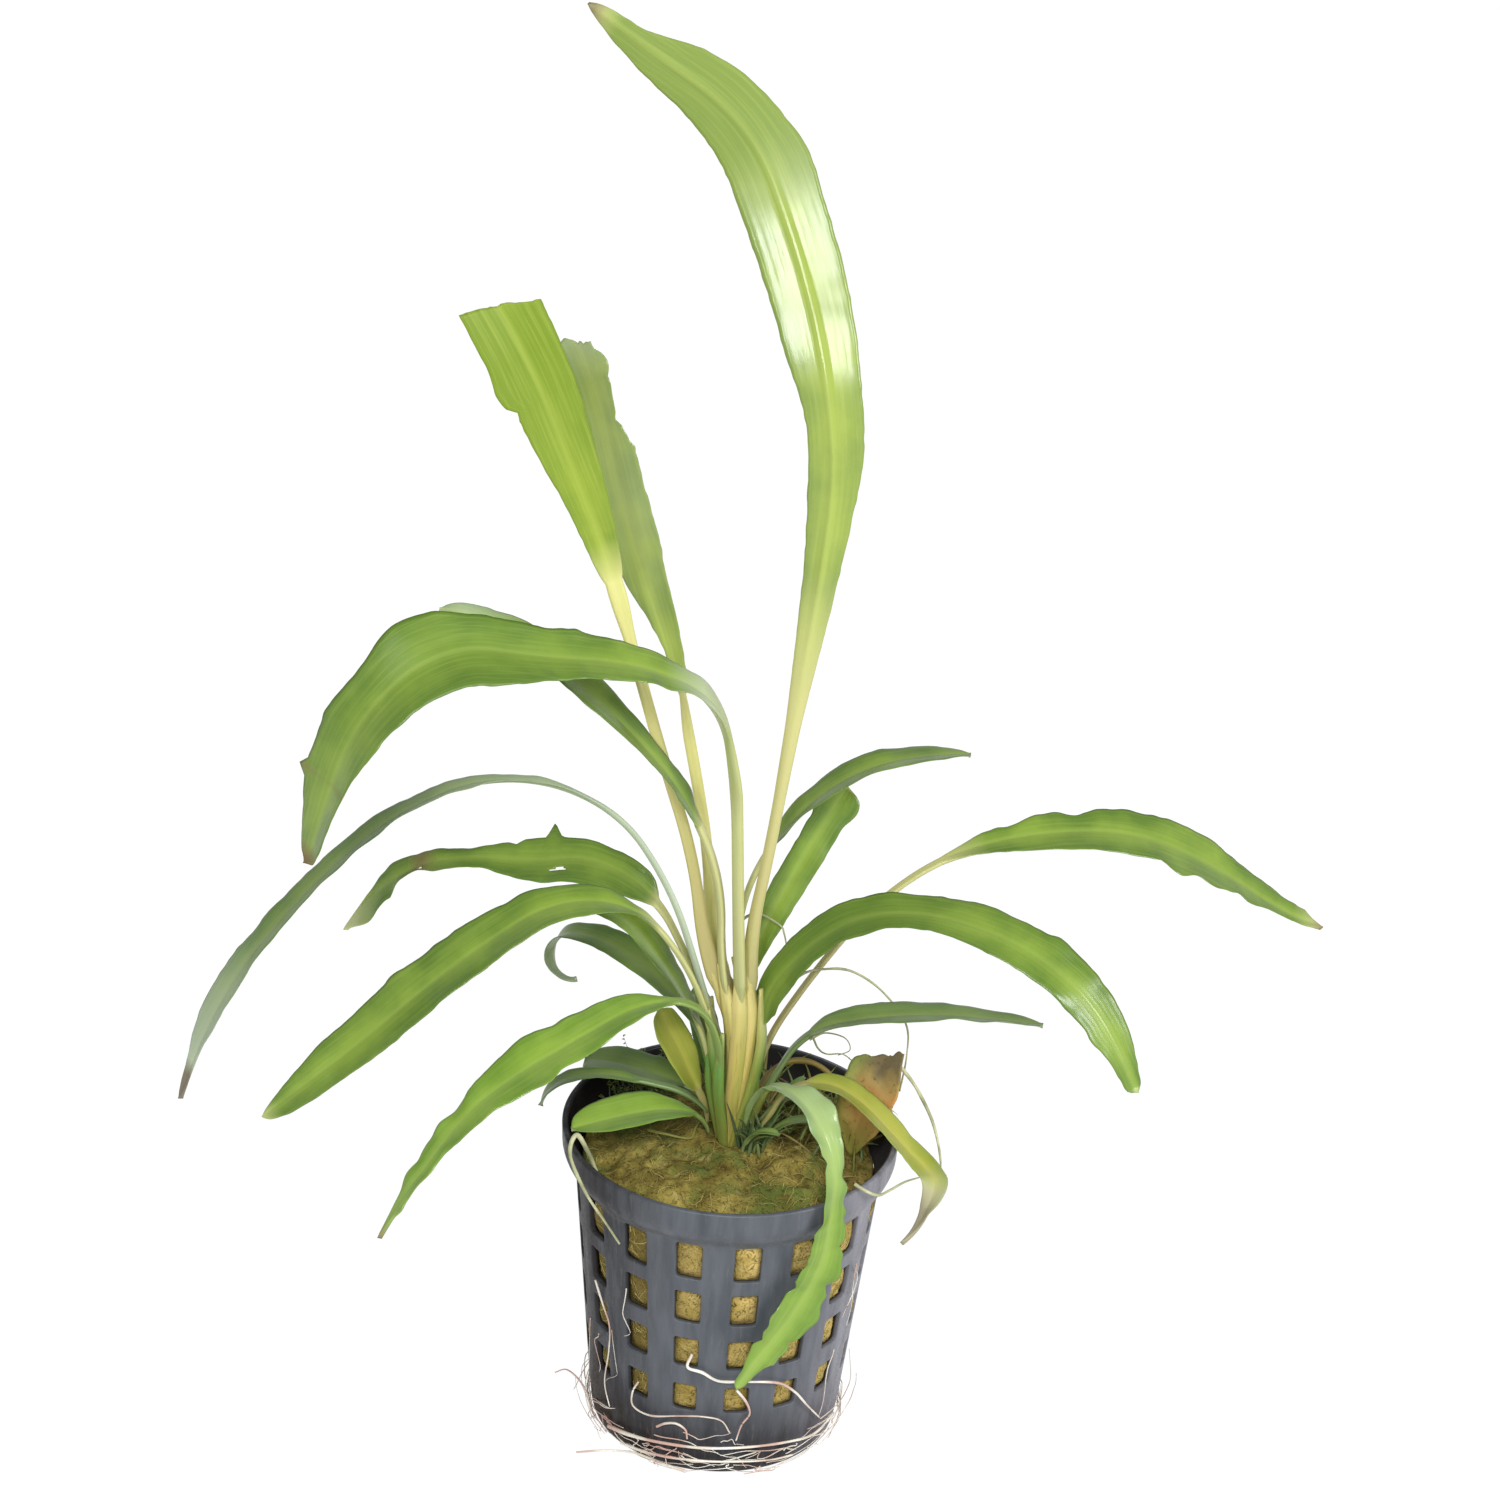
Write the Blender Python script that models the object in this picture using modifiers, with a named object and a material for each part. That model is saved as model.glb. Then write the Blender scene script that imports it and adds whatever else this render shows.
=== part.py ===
"""A potted cryptocoryne: a young narrow-leaved water plant in a small plastic net pot.

The pot is one moulding with windows through its wall. It holds a plug of mineral wool, the plug holds
the crown, and the leaves stand round the crown. Dry stalks and roots are thin tubes. Sizes below are
in millimetres and become metres in the meshes. +Z is up, -Y is the front, and the origin is the middle
of the pot's underside.
"""
import math
from collections import namedtuple

import bmesh
import bpy
import numpy as np
from mathutils import Matrix

MM = 0.001

# Net pot
POT_PROFILE = (  # height, outer radius
    (55.0, 27.5), (51.2, 27.3), (49.6, 26.7), (48.4, 25.8), (47.4, 25.0),
    (6.0, 20.9), (2.0, 20.4), (0.5, 19.9), (0.0, 19.3),
)
POT_WALL = 1.1
POT_FLOOR = 1.4
POT_SIDES = 32
WINDOW_COLUMNS = 16
WINDOW_ROWS = (  # height of the middle, width, height
    (43.7, 4.4, 7.0), (34.3, 4.4, 6.2), (25.0, 4.2, 5.8), (15.7, 4.0, 5.2),
)
FIRST_COLUMN = -80.0  # degrees, the column just right of the front
FLOOR_SLOTS = 8
FLOOR_SLOT = (9.0, 3.4)  # length, width
FLOOR_SLOT_RADIUS = 12.0
WINDOW_CUT = 5.0  # depth of a window's cutter, well over the wall

# Mineral wool plug and the crown that stands in its hole
PLUG_GAP = 0.6
PLUG_BOTTOM = 1.9
PLUG_EDGE = 49.5
PLUG_TOP = 52.8
PLUG_CROWNING = ((11.0, 0.4), (18.0, 1.6))  # radius, drop below the top
PLUG_SHOULDER = 46.0  # below this the plug follows the pot's inside
PLUG_ROUNDING = 1.4
PLUG_SLUMPS = ((-8.0, 22.0, 2.6), (140.0, 28.0, 2.2))  # direction, spread, depth
SLUMP_ABOVE = 48.0
SLUMP_OUTSIDE = 15.0  # radius
SLUMP_DRAWN_IN = 0.02  # share of the radius for each millimetre of slump
HOLE_BOTTOM = 45.0
HOLE_RADIUS = 3.1
HOLE_LIP = (1.2, 0.3)  # width, height
CROWN_PROFILE = (  # height, radius
    (78.0, 2.9), (74.0, 3.1), (66.0, 3.0), (58.0, 2.8), (52.0, 2.5), (47.0, 2.3), (45.4, 1.6),
)
CROWN_SIDES = 12

# Leaves. The midrib is a chain of short steps whose lean from upright and heading are read between
# the growth angles below, spaced evenly along it. Heading 0 is to the right, 90 to the back.
PETIOLE_WIDTH = 1.4
TIP_WIDTH = 0.5
TIP_START = 0.75  # share of the length where the leaf starts to narrow to its tip
PETIOLE_THICKNESS = 1.0
BLADE_THICKNESS = 0.45
BLADE_FOLD = 0.10  # rise of each edge above the midrib, as a share of the width
LEAF_STEP = 8.0
LEAF_STEPS = (5, 20)  # fewest and most along a leaf
STEP_PARTS = 6  # the midrib is worked out this much finer than the mesh
PETIOLE_REACH = 3.0  # how fast the petiole's thickness fades into the blade
Leaf = namedtuple("Leaf", "name base heading length lean width petiole widest fullness roll finish kept",
                  defaults=(1.0,))
LEAVES = (
    # name, base (direction, radius, height), heading, length, lean,
    # width, petiole share, widest place, fullness, roll, finish, share kept where torn off
    Leaf("leaf_tallest", (330, 2.3, 78.4), (-6, -17, -21, -2, 49, 116, 119, 136, 171, 164), 181,
         (-7, 8, 6, 6, 7, 18, 37, 35, 60, 60), 12.8, 0.28, 0.66, 2.5,
         (85, 85, 80, 92, 147, 207, 207, 224, 262, 262), "lime"),
    Leaf("leaf_torn_front", (180, 2.3, 78.4), (174,), 125, (24, 9, 19, 17, 17, 23, 23, 33),
         12.2, 0.50, 0.70, 1.0, (78, 70, 52), "lime", 0.82),
    Leaf("leaf_torn_back", (118, 2.3, 78.4), (148, 146, 140, 136), 111, (36, 4, 14, 17, 28, 26, 21, 40),
         9.3, 0.40, 0.56, 1.3, (61, 61, 76), "lime", 0.85),
    Leaf("leaf_wide_arch", (275, 2.3, 78.4), (205,), 147, (5, 4, 4, 12, 60, 78, 74, 129, 162, 165),
         13.6, 0.24, 0.78, 2.0, (10, 8, 24, 30, 0), "green"),
    Leaf("leaf_hidden_arch", (228, 2.3, 78.4), (186,), 92, (14, 2, 22, 38, 46, 52, 84),
         9.0, 0.37, 0.58, 1.0, (11, 12), "green"),
    Leaf("leaf_right_upper", (55, 2.3, 78.4), (20,), 66, (-20, 2, 29, 53, 83, 99),
         7.2, 0.42, 0.60, 0.9, (11,), "green"),
    Leaf("leaf_right_upright", (62, 4.0, 71), (28,), 46, (-5, 0, 25, 28, 32, 31),
         5.8, 0.25, 0.67, 0.9, (-51,), "green"),
    Leaf("leaf_thin_arch", (186, 3.9, 74), (188,), 143, (17, 18, 33, 72, 114, 136, 143, 156, 166),
         7.0, 0.30, 0.60, 1.6, (-32, -8, 20), "deep"),
    Leaf("leaf_broad_left", (208, 4.0, 70), (198,), 103, (10, 23, 38, 80, 122, 126, 132, 127, 128),
         10.4, 0.26, 0.54, 1.4, (-2, 27), "green"),
    Leaf("leaf_ragged", (160, 4.0, 70), (166,), 88, (5, 28, 29, 66, 108, 95, 114, 139, 156),
         9.5, 0.30, 0.36, 1.8, (15, 40), "green"),
    Leaf("leaf_curled", (140, 4.0, 62), (147,), 52, (26, 26, 58, 70, 82, 108, 178, 305),
         6.0, 0.20, 0.40, 1.7, (0, 13), "deep"),
    Leaf("leaf_under_left", (176, 4.0, 64), (174,), 39, (4, 24, 35, 40, 100),
         7.0, 0.25, 0.60, 1.2, (-10, 19), "green"),
    Leaf("leaf_wavy_left", (232, 4.0, 66), (208,), 83, (-1, 24, 82, 113, 112, 119, 140, 144, 152),
         9.5, 0.24, 0.34, 2.3, (10, 6), "lime"),
    Leaf("leaf_low_left", (208, 4.0, 54.3), (199,), 26, (10, 72, 94, 98, 100),
         9.5, 0.20, 0.54, 1.2, (0,), "lime"),
    Leaf("leaf_low_back", (138, 4.0, 55), (158,), 25, (30, 84, 90, 106),
         9.0, 0.28, 0.63, 1.0, (0,), "deep"),
    Leaf("leaf_rim_left", (190, 4.0, 57.5), (176,), 32, (38, 80, 84, 112, 170),
         4.0, 0.40, 0.60, 1.0, (0,), "deep"),
    Leaf("leaf_yellow_back", (168, 4.0, 54.5), (168,), 22, (0, 30, 26, 30, 24),
         6.0, 0.30, 0.62, 0.9, (34,), "yellow"),
    Leaf("leaf_dark_back", (116, 4.0, 55.5), (130,), 21, (30, 16, 19, 26, 50),
         5.0, 0.21, 0.61, 1.0, (56,), "deep"),
    Leaf("leaf_far_right", (30, 4.0, 60), (14,), 124, (2, 30, 36, 54, 80, 94, 118, 127, 116),
         10.4, 0.42, 0.53, 2.1, (-7, -24), "green"),
    Leaf("leaf_right_arch", (335, 4.4, 74), (-24,), 90, (-4, 29, 42, 63, 84, 99, 119, 143, 152),
         8.7, 0.02, 0.50, 0.7, (-70, -12, -38), "green"),
    Leaf("leaf_right_small", (8, 4.0, 58), (6,), 55, (22, 27, 78, 87, 96, 97),
         8.2, 0.30, 0.50, 1.0, (3, 15), "deep"),
    Leaf("leaf_right_yellow", (338, 4.1, 54.6), (-5, -5, -5, -7, -10, -12, -60, -150, -160), 54,
         (38, 21, 71, 119, 135, 133, 98, 160, 128), 7.0, 0.25, 0.34, 2.2, (-8, 6), "yellow"),
    Leaf("leaf_front_hanging", (306, 4.0, 56), (-50, -52, -50, -50, -160, -166, -166, -170), 78,
         (0, 45, 104, 157, 180, 156, 146, 150), 6.4, 0.13, 0.66, 1.2, (0, 0, 0, 0, 108, 90, 90, 82), "lime"),
    Leaf("new_leaf_1", (350, 5.6, 53.3), (20,), 13, (10, 30, 50), 2.6, 0.20, 0.50, 1.0, (0,), "deep"),
    Leaf("new_leaf_2", (328, 6.4, 53.2), (0,), 12, (10, 60, 105), 2.8, 0.20, 0.50, 1.0, (0,), "deep"),
    Leaf("new_leaf_3", (292, 5.8, 53.2), (-15,), 9, (0, 50, 110), 2.4, 0.20, 0.50, 1.0, (0,), "deep"),
    Leaf("withered_leaf", (4, 20.0, 49.8), (55,), 17.5, (14, 30, 34),
         10.5, 0.0, 0.78, 0.6, (0, -10, 12), "withered", 0.95),
)

# Dry stalks, as points (x, y, z), and how thick each is
STALKS = {
    "dry_stem_left": (0.45, (
        (-20.6, -12.6, 50.6), (-22.6, -12.8, 56.0), (-24.6, -13.2, 59.4), (-25.4, -15.2, 56.8),
        (-22.6, -18.9, 52.4), (-19.2, -19.8, 47.6), (-16.6, -20.6, 44.0),
    )),
    "dry_tendril": (0.40, (
        (2.4, 6.2, 53.4), (2.8, 5.2, 66.0), (5.6, 3.4, 76.8), (9.6, 2.0, 82.8), (13.6, 3.0, 83.7),
        (18.0, 5.0, 82.4), (23.0, 7.4, 77.8), (27.4, 8.6, 71.2), (28.0, 8.6, 65.2),
        (27.3, 8.0, 58.6),
    )),
    "dry_arc": (0.45, (
        (26.4, 5.6, 65.1), (27.9, 5.0, 64.0), (30.2, 4.0, 61.2), (33.0, 2.0, 56.4),
        (34.6, 0.0, 50.7), (34.5, -1.0, 46.4),
    )),
    "dry_thread_right": (0.35, (
        (20.4, -17.0, 55.9), (22.4, -17.8, 55.2), (24.4, -16.2, 53.6), (26.4, -14.0, 53.4),
        (28.6, -12.2, 53.9), (31.0, -10.8, 54.1),
    )),
}

# Roots, as points (direction, height, clearance from the pot's wall)
ROOTS = {
    "root_front_long": (0.35, (
        (-100, 24.5, -0.6), (-101, 22.6, 0.7), (-95, 21.9, 0.7), (-88, 20.4, 0.7), (-77, 20.2, 0.7),
        (-63, 19.0, 0.7), (-54, 16.0, 0.7), (-46, 12.0, 0.8), (-36, 7.6, 0.8),
    )),
    "root_front_left": (0.28, (
        (-125, 15.6, -0.4), (-126, 13.8, 0.8), (-126, 10.8, 0.6), (-117, 10.4, 0.6),
        (-104, 12.0, 0.6), (-94, 12.6, 0.6), (-86, 12.0, 0.6), (-82, 9.6, 0.7),
    )),
    "root_loop": (0.30, (
        (-114, 8.6, 0.7), (-110, 9.8, 0.7), (-105, 10.4, 0.8), (-101, 9.4, 0.7), (-100, 7.6, 0.7),
    )),
    "root_front_drop": (0.30, (
        (-80, 17.6, -0.6), (-76, 15.8, 0.6), (-74, 13.2, 0.6), (-77, 11.0, 0.6), (-79, 7.9, 0.8),
    )),
    "root_ring_upper": (0.40, (
        (-142, 3.4, 0.9), (-128, 4.6, 0.9), (-113, 5.6, 0.9), (-94, 6.2, 0.9), (-75, 6.4, 0.9),
        (-55, 5.7, 0.9), (-38, 4.6, 0.9), (-22, 5.4, 0.9),
    )),
    "root_ring_lower": (0.35, (
        (-134, 1.6, 0.9), (-121, 2.4, 0.9), (-108, 3.0, 0.9), (-93, 3.4, 0.9), (-78, 3.4, 0.9),
        (-62, 2.7, 0.9), (-50, 2.2, 0.9),
    )),
    "root_trailing": (0.35, (
        (-100, 0.6, 1.2), (-112, 1.2, 1.0), (-125, 1.2, 1.0), (-136, 0.6, 3.4), (-142, 0.5, 8.0),
    )),
    "root_left": (0.35, (
        (-165, 0.8, 0.8), (-169, 3.0, 0.8), (-172, 5.2, 1.8), (-172, 7.4, 3.8), (-171, 7.2, 5.8),
    )),
    "root_left_wall": (0.30, (
        (-148, 31.6, 0.6), (-143, 28.0, 0.6), (-139, 24.5, 0.6), (-140, 19.0, 0.7),
        (-144, 12.0, 0.7), (-141, 7.6, 0.7),
    )),
}

FINISHES = {  # colour, roughness
    "pot": ((0.36, 0.37, 0.41), 0.45),
    "wool": ((0.50, 0.43, 0.20), 0.95),
    "crown": ((0.66, 0.60, 0.40), 0.50),
    "lime": ((0.60, 0.72, 0.24), 0.40),
    "green": ((0.48, 0.62, 0.26), 0.40),
    "deep": ((0.36, 0.50, 0.24), 0.45),
    "yellow": ((0.66, 0.68, 0.30), 0.50),
    "withered": ((0.66, 0.46, 0.24), 0.80),
    "dry": ((0.62, 0.58, 0.46), 0.80),
    "root": ((0.88, 0.86, 0.78), 0.60),
}

for old in list(bpy.data.objects):
    bpy.data.objects.remove(old)

plant = bpy.data.collections.new("potted_cryptocoryne")
cutters = bpy.data.collections.new("cutters")
bpy.context.scene.collection.children.link(plant)
bpy.context.scene.collection.children.link(cutters)


def srgb_to_linear(value):
    return value / 12.92 if value <= 0.04045 else ((value + 0.055) / 1.055) ** 2.4


def finish(name):
    """One Principled material for each finish, made the first time it is asked for."""
    material = bpy.data.materials.get(name)
    if material is None:
        colour, roughness = FINISHES[name]
        material = bpy.data.materials.new(name)
        material.use_nodes = True
        shader = material.node_tree.nodes["Principled BSDF"]
        shader.inputs["Base Color"].default_value = (*(srgb_to_linear(c) for c in colour), 1.0)
        shader.inputs["Roughness"].default_value = roughness
        shader.inputs["Metallic"].default_value = 0.0
    return material


def add_object(name, data, finish_name, collection=plant):
    piece = bpy.data.objects.new(name, data)
    collection.objects.link(piece)
    data.materials.append(finish(finish_name))
    return piece


def turned(name, profile, sides, finish_name, turn=0.0):
    """A profile of (radius, height) in the XZ plane, from the axis back to the axis, spun round Z."""
    mesh = bpy.data.meshes.new(name)
    corners = [(radius * MM, 0.0, height * MM) for radius, height in profile]
    mesh.from_pydata(corners, [(i, i + 1) for i in range(len(corners) - 1)], [])
    piece = add_object(name, mesh, finish_name)
    piece.rotation_euler.z = math.radians(turn)
    screw = piece.modifiers.new("spin", "SCREW")
    screw.axis = "Z"
    screw.steps = sides
    screw.render_steps = sides
    screw.use_merge_vertices = True
    screw.merge_threshold = 0.00001
    screw.use_smooth_shade = True
    return piece


def pot_radius(height):
    heights, radii = zip(*reversed(POT_PROFILE))
    return float(np.interp(height, heights, radii))


def net_pot():
    """The moulding: its inside up to the rim and its outside down to the foot, then windows and slots."""
    wall_heights = [height for height, _ in reversed(POT_PROFILE) if height > POT_FLOOR]
    inside = [(pot_radius(height) - POT_WALL, height) for height in wall_heights]
    outside = [(radius, height) for height, radius in POT_PROFILE]
    floor_edge = pot_radius(POT_FLOOR) - POT_WALL
    profile = [(0.0, POT_FLOOR), (floor_edge, POT_FLOOR)] + inside + outside + [(0.0, 0.0)]
    half_facet = 180.0 / POT_SIDES
    pot = turned("net_pot", profile, POT_SIDES, "pot", FIRST_COLUMN - half_facet)
    cut = pot.modifiers.new("windows", "BOOLEAN")
    cut.operation = "DIFFERENCE"
    cut.solver = "EXACT"
    cut.object = window_cutter()


def window_cutter():
    """One box for each window in the wall and each slot in the floor."""
    shape = bmesh.new()
    for row_height, width, height in WINDOW_ROWS:
        for column in range(WINDOW_COLUMNS):
            turn = math.radians(FIRST_COLUMN + column * 360.0 / WINDOW_COLUMNS)
            add_box(shape, turn, (pot_radius(row_height), row_height), (WINDOW_CUT, width, height))
    for slot in range(FLOOR_SLOTS):
        turn = 2.0 * math.pi * (slot + 0.5) / FLOOR_SLOTS
        add_box(shape, turn, (FLOOR_SLOT_RADIUS, 0.0), (*FLOOR_SLOT, 4.0 * POT_FLOOR))
    mesh = bpy.data.meshes.new("window_cutter")
    shape.to_mesh(mesh)
    shape.free()
    cutter = add_object("window_cutter", mesh, "pot", cutters)
    cutter.hide_render = True
    cutter.display_type = "WIRE"
    return cutter


def add_box(shape, turn, place, size):
    """A box of (depth, width, height) whose middle is at (radius, height) in the direction turn."""
    radius, height = place
    matrix = Matrix.Rotation(turn, 4, "Z") @ Matrix.Translation((radius * MM, 0.0, height * MM))
    matrix = matrix @ Matrix.Diagonal((size[0] * MM, size[1] * MM, size[2] * MM, 1.0))
    bmesh.ops.create_cube(shape, size=1.0, matrix=matrix)


def mineral_wool_plug():
    """A turned block with a hole for the crown, its top edge slumped in two directions."""
    def radius_at(height):
        return pot_radius(height) - POT_WALL - PLUG_GAP

    profile = [
        (0.0, HOLE_BOTTOM), (HOLE_RADIUS, HOLE_BOTTOM), (HOLE_RADIUS, PLUG_TOP - HOLE_LIP[1]),
        (HOLE_RADIUS + HOLE_LIP[0], PLUG_TOP),
    ]
    profile += [(radius, PLUG_TOP - drop) for radius, drop in PLUG_CROWNING]
    profile += [
        (radius_at(PLUG_EDGE) - PLUG_ROUNDING, PLUG_EDGE), (radius_at(PLUG_SHOULDER), PLUG_SHOULDER),
        (radius_at(PLUG_BOTTOM), PLUG_BOTTOM), (0.0, PLUG_BOTTOM),
    ]
    plug = turned("mineral_wool_plug", profile, POT_SIDES, "wool")
    evaluated = plug.evaluated_get(bpy.context.evaluated_depsgraph_get())
    mesh = bpy.data.meshes.new_from_object(evaluated)
    plug.modifiers.clear()
    plug.data = mesh
    for vertex in mesh.vertices:
        radius = math.hypot(vertex.co.x, vertex.co.y) / MM
        if vertex.co.z < SLUMP_ABOVE * MM or radius < SLUMP_OUTSIDE:
            continue
        direction = math.degrees(math.atan2(vertex.co.y, vertex.co.x))
        for middle, spread, depth in PLUG_SLUMPS:
            away = (direction - middle + 180.0) % 360.0 - 180.0
            slump = depth * math.exp(-((away / spread) ** 2))
            vertex.co.z -= slump * MM
            vertex.co.x *= 1.0 - SLUMP_DRAWN_IN * slump
            vertex.co.y *= 1.0 - SLUMP_DRAWN_IN * slump


def crown():
    profile = [(0.0, CROWN_PROFILE[0][0])]
    profile += [(radius, height) for height, radius in CROWN_PROFILE]
    profile += [(0.0, CROWN_PROFILE[-1][0])]
    turned("crown", profile, CROWN_SIDES, "crown")


def on_ring(direction, radius, height):
    angle = math.radians(direction)
    return np.array((radius * math.cos(angle), radius * math.sin(angle), height))


def along(values, share):
    """Read evenly spaced values at shares of the way along, 0 to 1."""
    places = np.linspace(0.0, 1.0, len(values))
    return np.interp(share, places, values)


def midrib(leaf, steps):
    """Points up the midrib, each a short step on from the last in the direction that the leaf grows."""
    middle = (np.arange(steps) + 0.5) / steps
    lean = np.radians(along(leaf.lean, middle))
    heading = np.radians(along(leaf.heading, middle))
    growth = np.stack((np.sin(lean) * np.cos(heading), np.sin(lean) * np.sin(heading), np.cos(lean)), axis=1)
    points = np.vstack((np.zeros(3), np.cumsum(growth * leaf.length / steps, axis=0)))
    return points + on_ring(*leaf.base)


def blade_share(leaf, share):
    """0 on the petiole, 1 where the blade is widest, and back towards 0 at the tip."""
    along_blade = np.clip((share * leaf.kept - leaf.petiole) / (1.0 - leaf.petiole), 1e-6, 1.0 - 1e-6)
    rise = (along_blade / leaf.widest) ** leaf.widest
    fall = ((1.0 - along_blade) / (1.0 - leaf.widest)) ** (1.0 - leaf.widest)
    return (rise * fall) ** leaf.fullness


def across_and_up(leaf, points, share):
    """Unit vectors across the blade and out of its face, turned about the midrib by the roll."""
    forward = np.gradient(points, axis=0)
    forward /= np.linalg.norm(forward, axis=1, keepdims=True)
    heading = np.radians(along(leaf.heading, share))
    level = np.stack((-np.sin(heading), np.cos(heading), 0.0 * heading), axis=1)
    face = np.cross(level, forward)
    face /= np.linalg.norm(face, axis=1, keepdims=True)
    level = np.cross(forward, face)
    roll = np.radians(along(leaf.roll, share))[:, None]
    across = np.cos(roll) * level + np.sin(roll) * face
    return across, np.cross(across, forward)


def add_leaf(leaf):
    """A strip two cells wide along the midrib, folded along it, and given its thickness by Solidify."""
    steps = min(max(round(leaf.length / LEAF_STEP), LEAF_STEPS[0]), LEAF_STEPS[1])
    fine = STEP_PARTS * steps
    points = midrib(leaf, fine)
    share = np.linspace(0.0, 1.0, fine + 1)
    across, out = across_and_up(leaf, points, share)
    points, share, across, out = (values[::STEP_PARTS] for values in (points, share, across, out))
    blade = blade_share(leaf, share)
    narrowest = np.interp(share * leaf.kept, (TIP_START, 1.0), (PETIOLE_WIDTH, TIP_WIDTH))
    width = (narrowest + (leaf.width - narrowest) * blade)[:, None]
    rise = -out * width * BLADE_FOLD
    half = across * width / 2.0
    rows = np.stack((points - half + rise, points, points + half + rise), axis=1)
    faces = []
    for row in range(steps):
        for column in range(2):
            corner = row * 3 + column
            faces.append((corner, corner + 1, corner + 4, corner + 3))
    mesh = bpy.data.meshes.new(leaf.name)
    mesh.from_pydata((rows.reshape(-1, 3) * MM).tolist(), [], faces)
    mesh.shade_smooth()
    piece = add_object(leaf.name, mesh, leaf.finish)
    thickness = piece.vertex_groups.new(name="thickness")
    for row, amount in enumerate(blade):
        thinned = (1.0 - BLADE_THICKNESS / PETIOLE_THICKNESS) * min(1.0, PETIOLE_REACH * float(amount))
        thickness.add([3 * row, 3 * row + 1, 3 * row + 2], 1.0 - thinned, "REPLACE")
    shell = piece.modifiers.new("thickness", "SOLIDIFY")
    shell.thickness = PETIOLE_THICKNESS * MM
    shell.offset = 0.0
    shell.vertex_group = "thickness"


def smooth_route(points, between=2):
    """Points on a smooth curve through the route's own points (Catmull-Rom)."""
    points = np.array(points, dtype=float)
    padded = np.vstack((2.0 * points[0] - points[1], points, 2.0 * points[-1] - points[-2]))
    route = []
    for i in range(len(points) - 1):
        before, start, end, after = padded[i:i + 4]
        for step in range(between):
            t = step / between
            route.append(0.5 * (2.0 * start + (end - before) * t
                                + (2.0 * before - 5.0 * start + 4.0 * end - after) * t ** 2
                                + (3.0 * start - before - 3.0 * end + after) * t ** 3))
    route.append(points[-1])
    return np.array(route)


def add_tube(name, points, radius, finish_name):
    curve = bpy.data.curves.new(name, "CURVE")
    curve.dimensions = "3D"
    curve.bevel_depth = radius * MM
    curve.bevel_resolution = 1
    curve.use_fill_caps = True
    spline = curve.splines.new("POLY")
    spline.points.add(len(points) - 1)
    for point, place in zip(spline.points, points):
        point.co = (*(place * MM), 1.0)
    add_object(name, curve, finish_name)


def wall_place(direction, height, clearance):
    """A place at this clearance outside the pot's wall, or inside it where the clearance is negative."""
    return on_ring(direction, pot_radius(height) + clearance, height)


net_pot()
mineral_wool_plug()
crown()
for leaf_row in LEAVES:
    add_leaf(leaf_row)
for stalk, (stalk_radius, stalk_route) in STALKS.items():
    add_tube(stalk, smooth_route(stalk_route), stalk_radius, "dry")
for root, (root_radius, root_route) in ROOTS.items():
    add_tube(root, smooth_route([wall_place(*place) for place in root_route]), root_radius, "root")
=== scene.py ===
"""A potted cryptocoryne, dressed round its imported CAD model.

The file follows the plant as it is put together: studio, net pot, mineral wool, crown, leaves, withered
leaf, dry stalks, roots and moss. Lengths are in millimetres until add_piece makes them metres. +Z is up,
-Y is the front, and the origin is the middle of the pot's underside.
"""

import bpy
import numpy as np
from mathutils import Matrix


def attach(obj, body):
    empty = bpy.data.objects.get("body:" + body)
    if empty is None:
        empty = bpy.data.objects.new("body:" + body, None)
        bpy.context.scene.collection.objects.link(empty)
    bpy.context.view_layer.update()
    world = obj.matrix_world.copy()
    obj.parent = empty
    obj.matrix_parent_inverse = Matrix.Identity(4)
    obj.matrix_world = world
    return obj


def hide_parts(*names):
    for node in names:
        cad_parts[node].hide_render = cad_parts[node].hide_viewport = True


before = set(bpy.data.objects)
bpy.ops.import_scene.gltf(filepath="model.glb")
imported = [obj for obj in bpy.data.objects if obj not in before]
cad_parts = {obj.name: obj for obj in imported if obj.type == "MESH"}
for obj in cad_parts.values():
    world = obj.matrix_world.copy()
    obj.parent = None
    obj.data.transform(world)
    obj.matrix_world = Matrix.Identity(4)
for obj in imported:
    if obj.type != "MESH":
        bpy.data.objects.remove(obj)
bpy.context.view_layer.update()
MM = 0.001

# The studio: a sheet of white card, lit from below, inside a white tent that is brightest low down. Two
# narrow soft boxes stand just above the camera and a wider one at the right, and they are the white gloss on
# the leaves. The camera has a long lens, looks down from the photograph's height and is rolled as that was.
CAMERA_TARGET = (-0.8, 0.0, 124.3)
CAMERA_DISTANCE = 900.0
CAMERA_ELEVATION = 28.0
CAMERA_ROLL = 3.7
CAMERA_LENS = 137.3
SENSOR = 36.0
CARD_RADIUS = 6.0  # metres
CARD_LEVEL = -0.05  # just under the pot's foot
CARD_WHITE = "#F4F4F2"
CARD_GLOW = 0.90
CARD_LIGHT = 1.06
TENT_LOW = "#CFD2D9"
TENT_HIGH = "#8E9096"
SOFT_BOXES = (  # name, direction, elevation, distance (m), width (m), height (m), watts
    ("left_key_box", -107.5, 35.5, 1.3, 0.17, 0.38, 6.6),
    ("right_key_box", -84.0, 37.5, 1.3, 0.24, 0.40, 7.6),
    ("side_box", -28.0, 32.0, 1.4, 0.34, 0.55, 12.5),
)


def linear(hex_colour):
    """An sRGB hex colour as linear RGBA: over 12.92 near black, and a power of 2.4 above that."""
    channel = np.array([int(hex_colour[place:place + 2], 16) for place in (1, 3, 5)]) / 255.0
    channel = np.where(channel <= 0.04045, channel / 12.92, ((channel + 0.055) / 1.055) ** 2.4)
    return (*channel.tolist(), 1.0)


def new_material(name):
    material = bpy.data.materials.new(name)
    material.use_nodes = True
    material.node_tree.nodes.clear()
    return material


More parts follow.
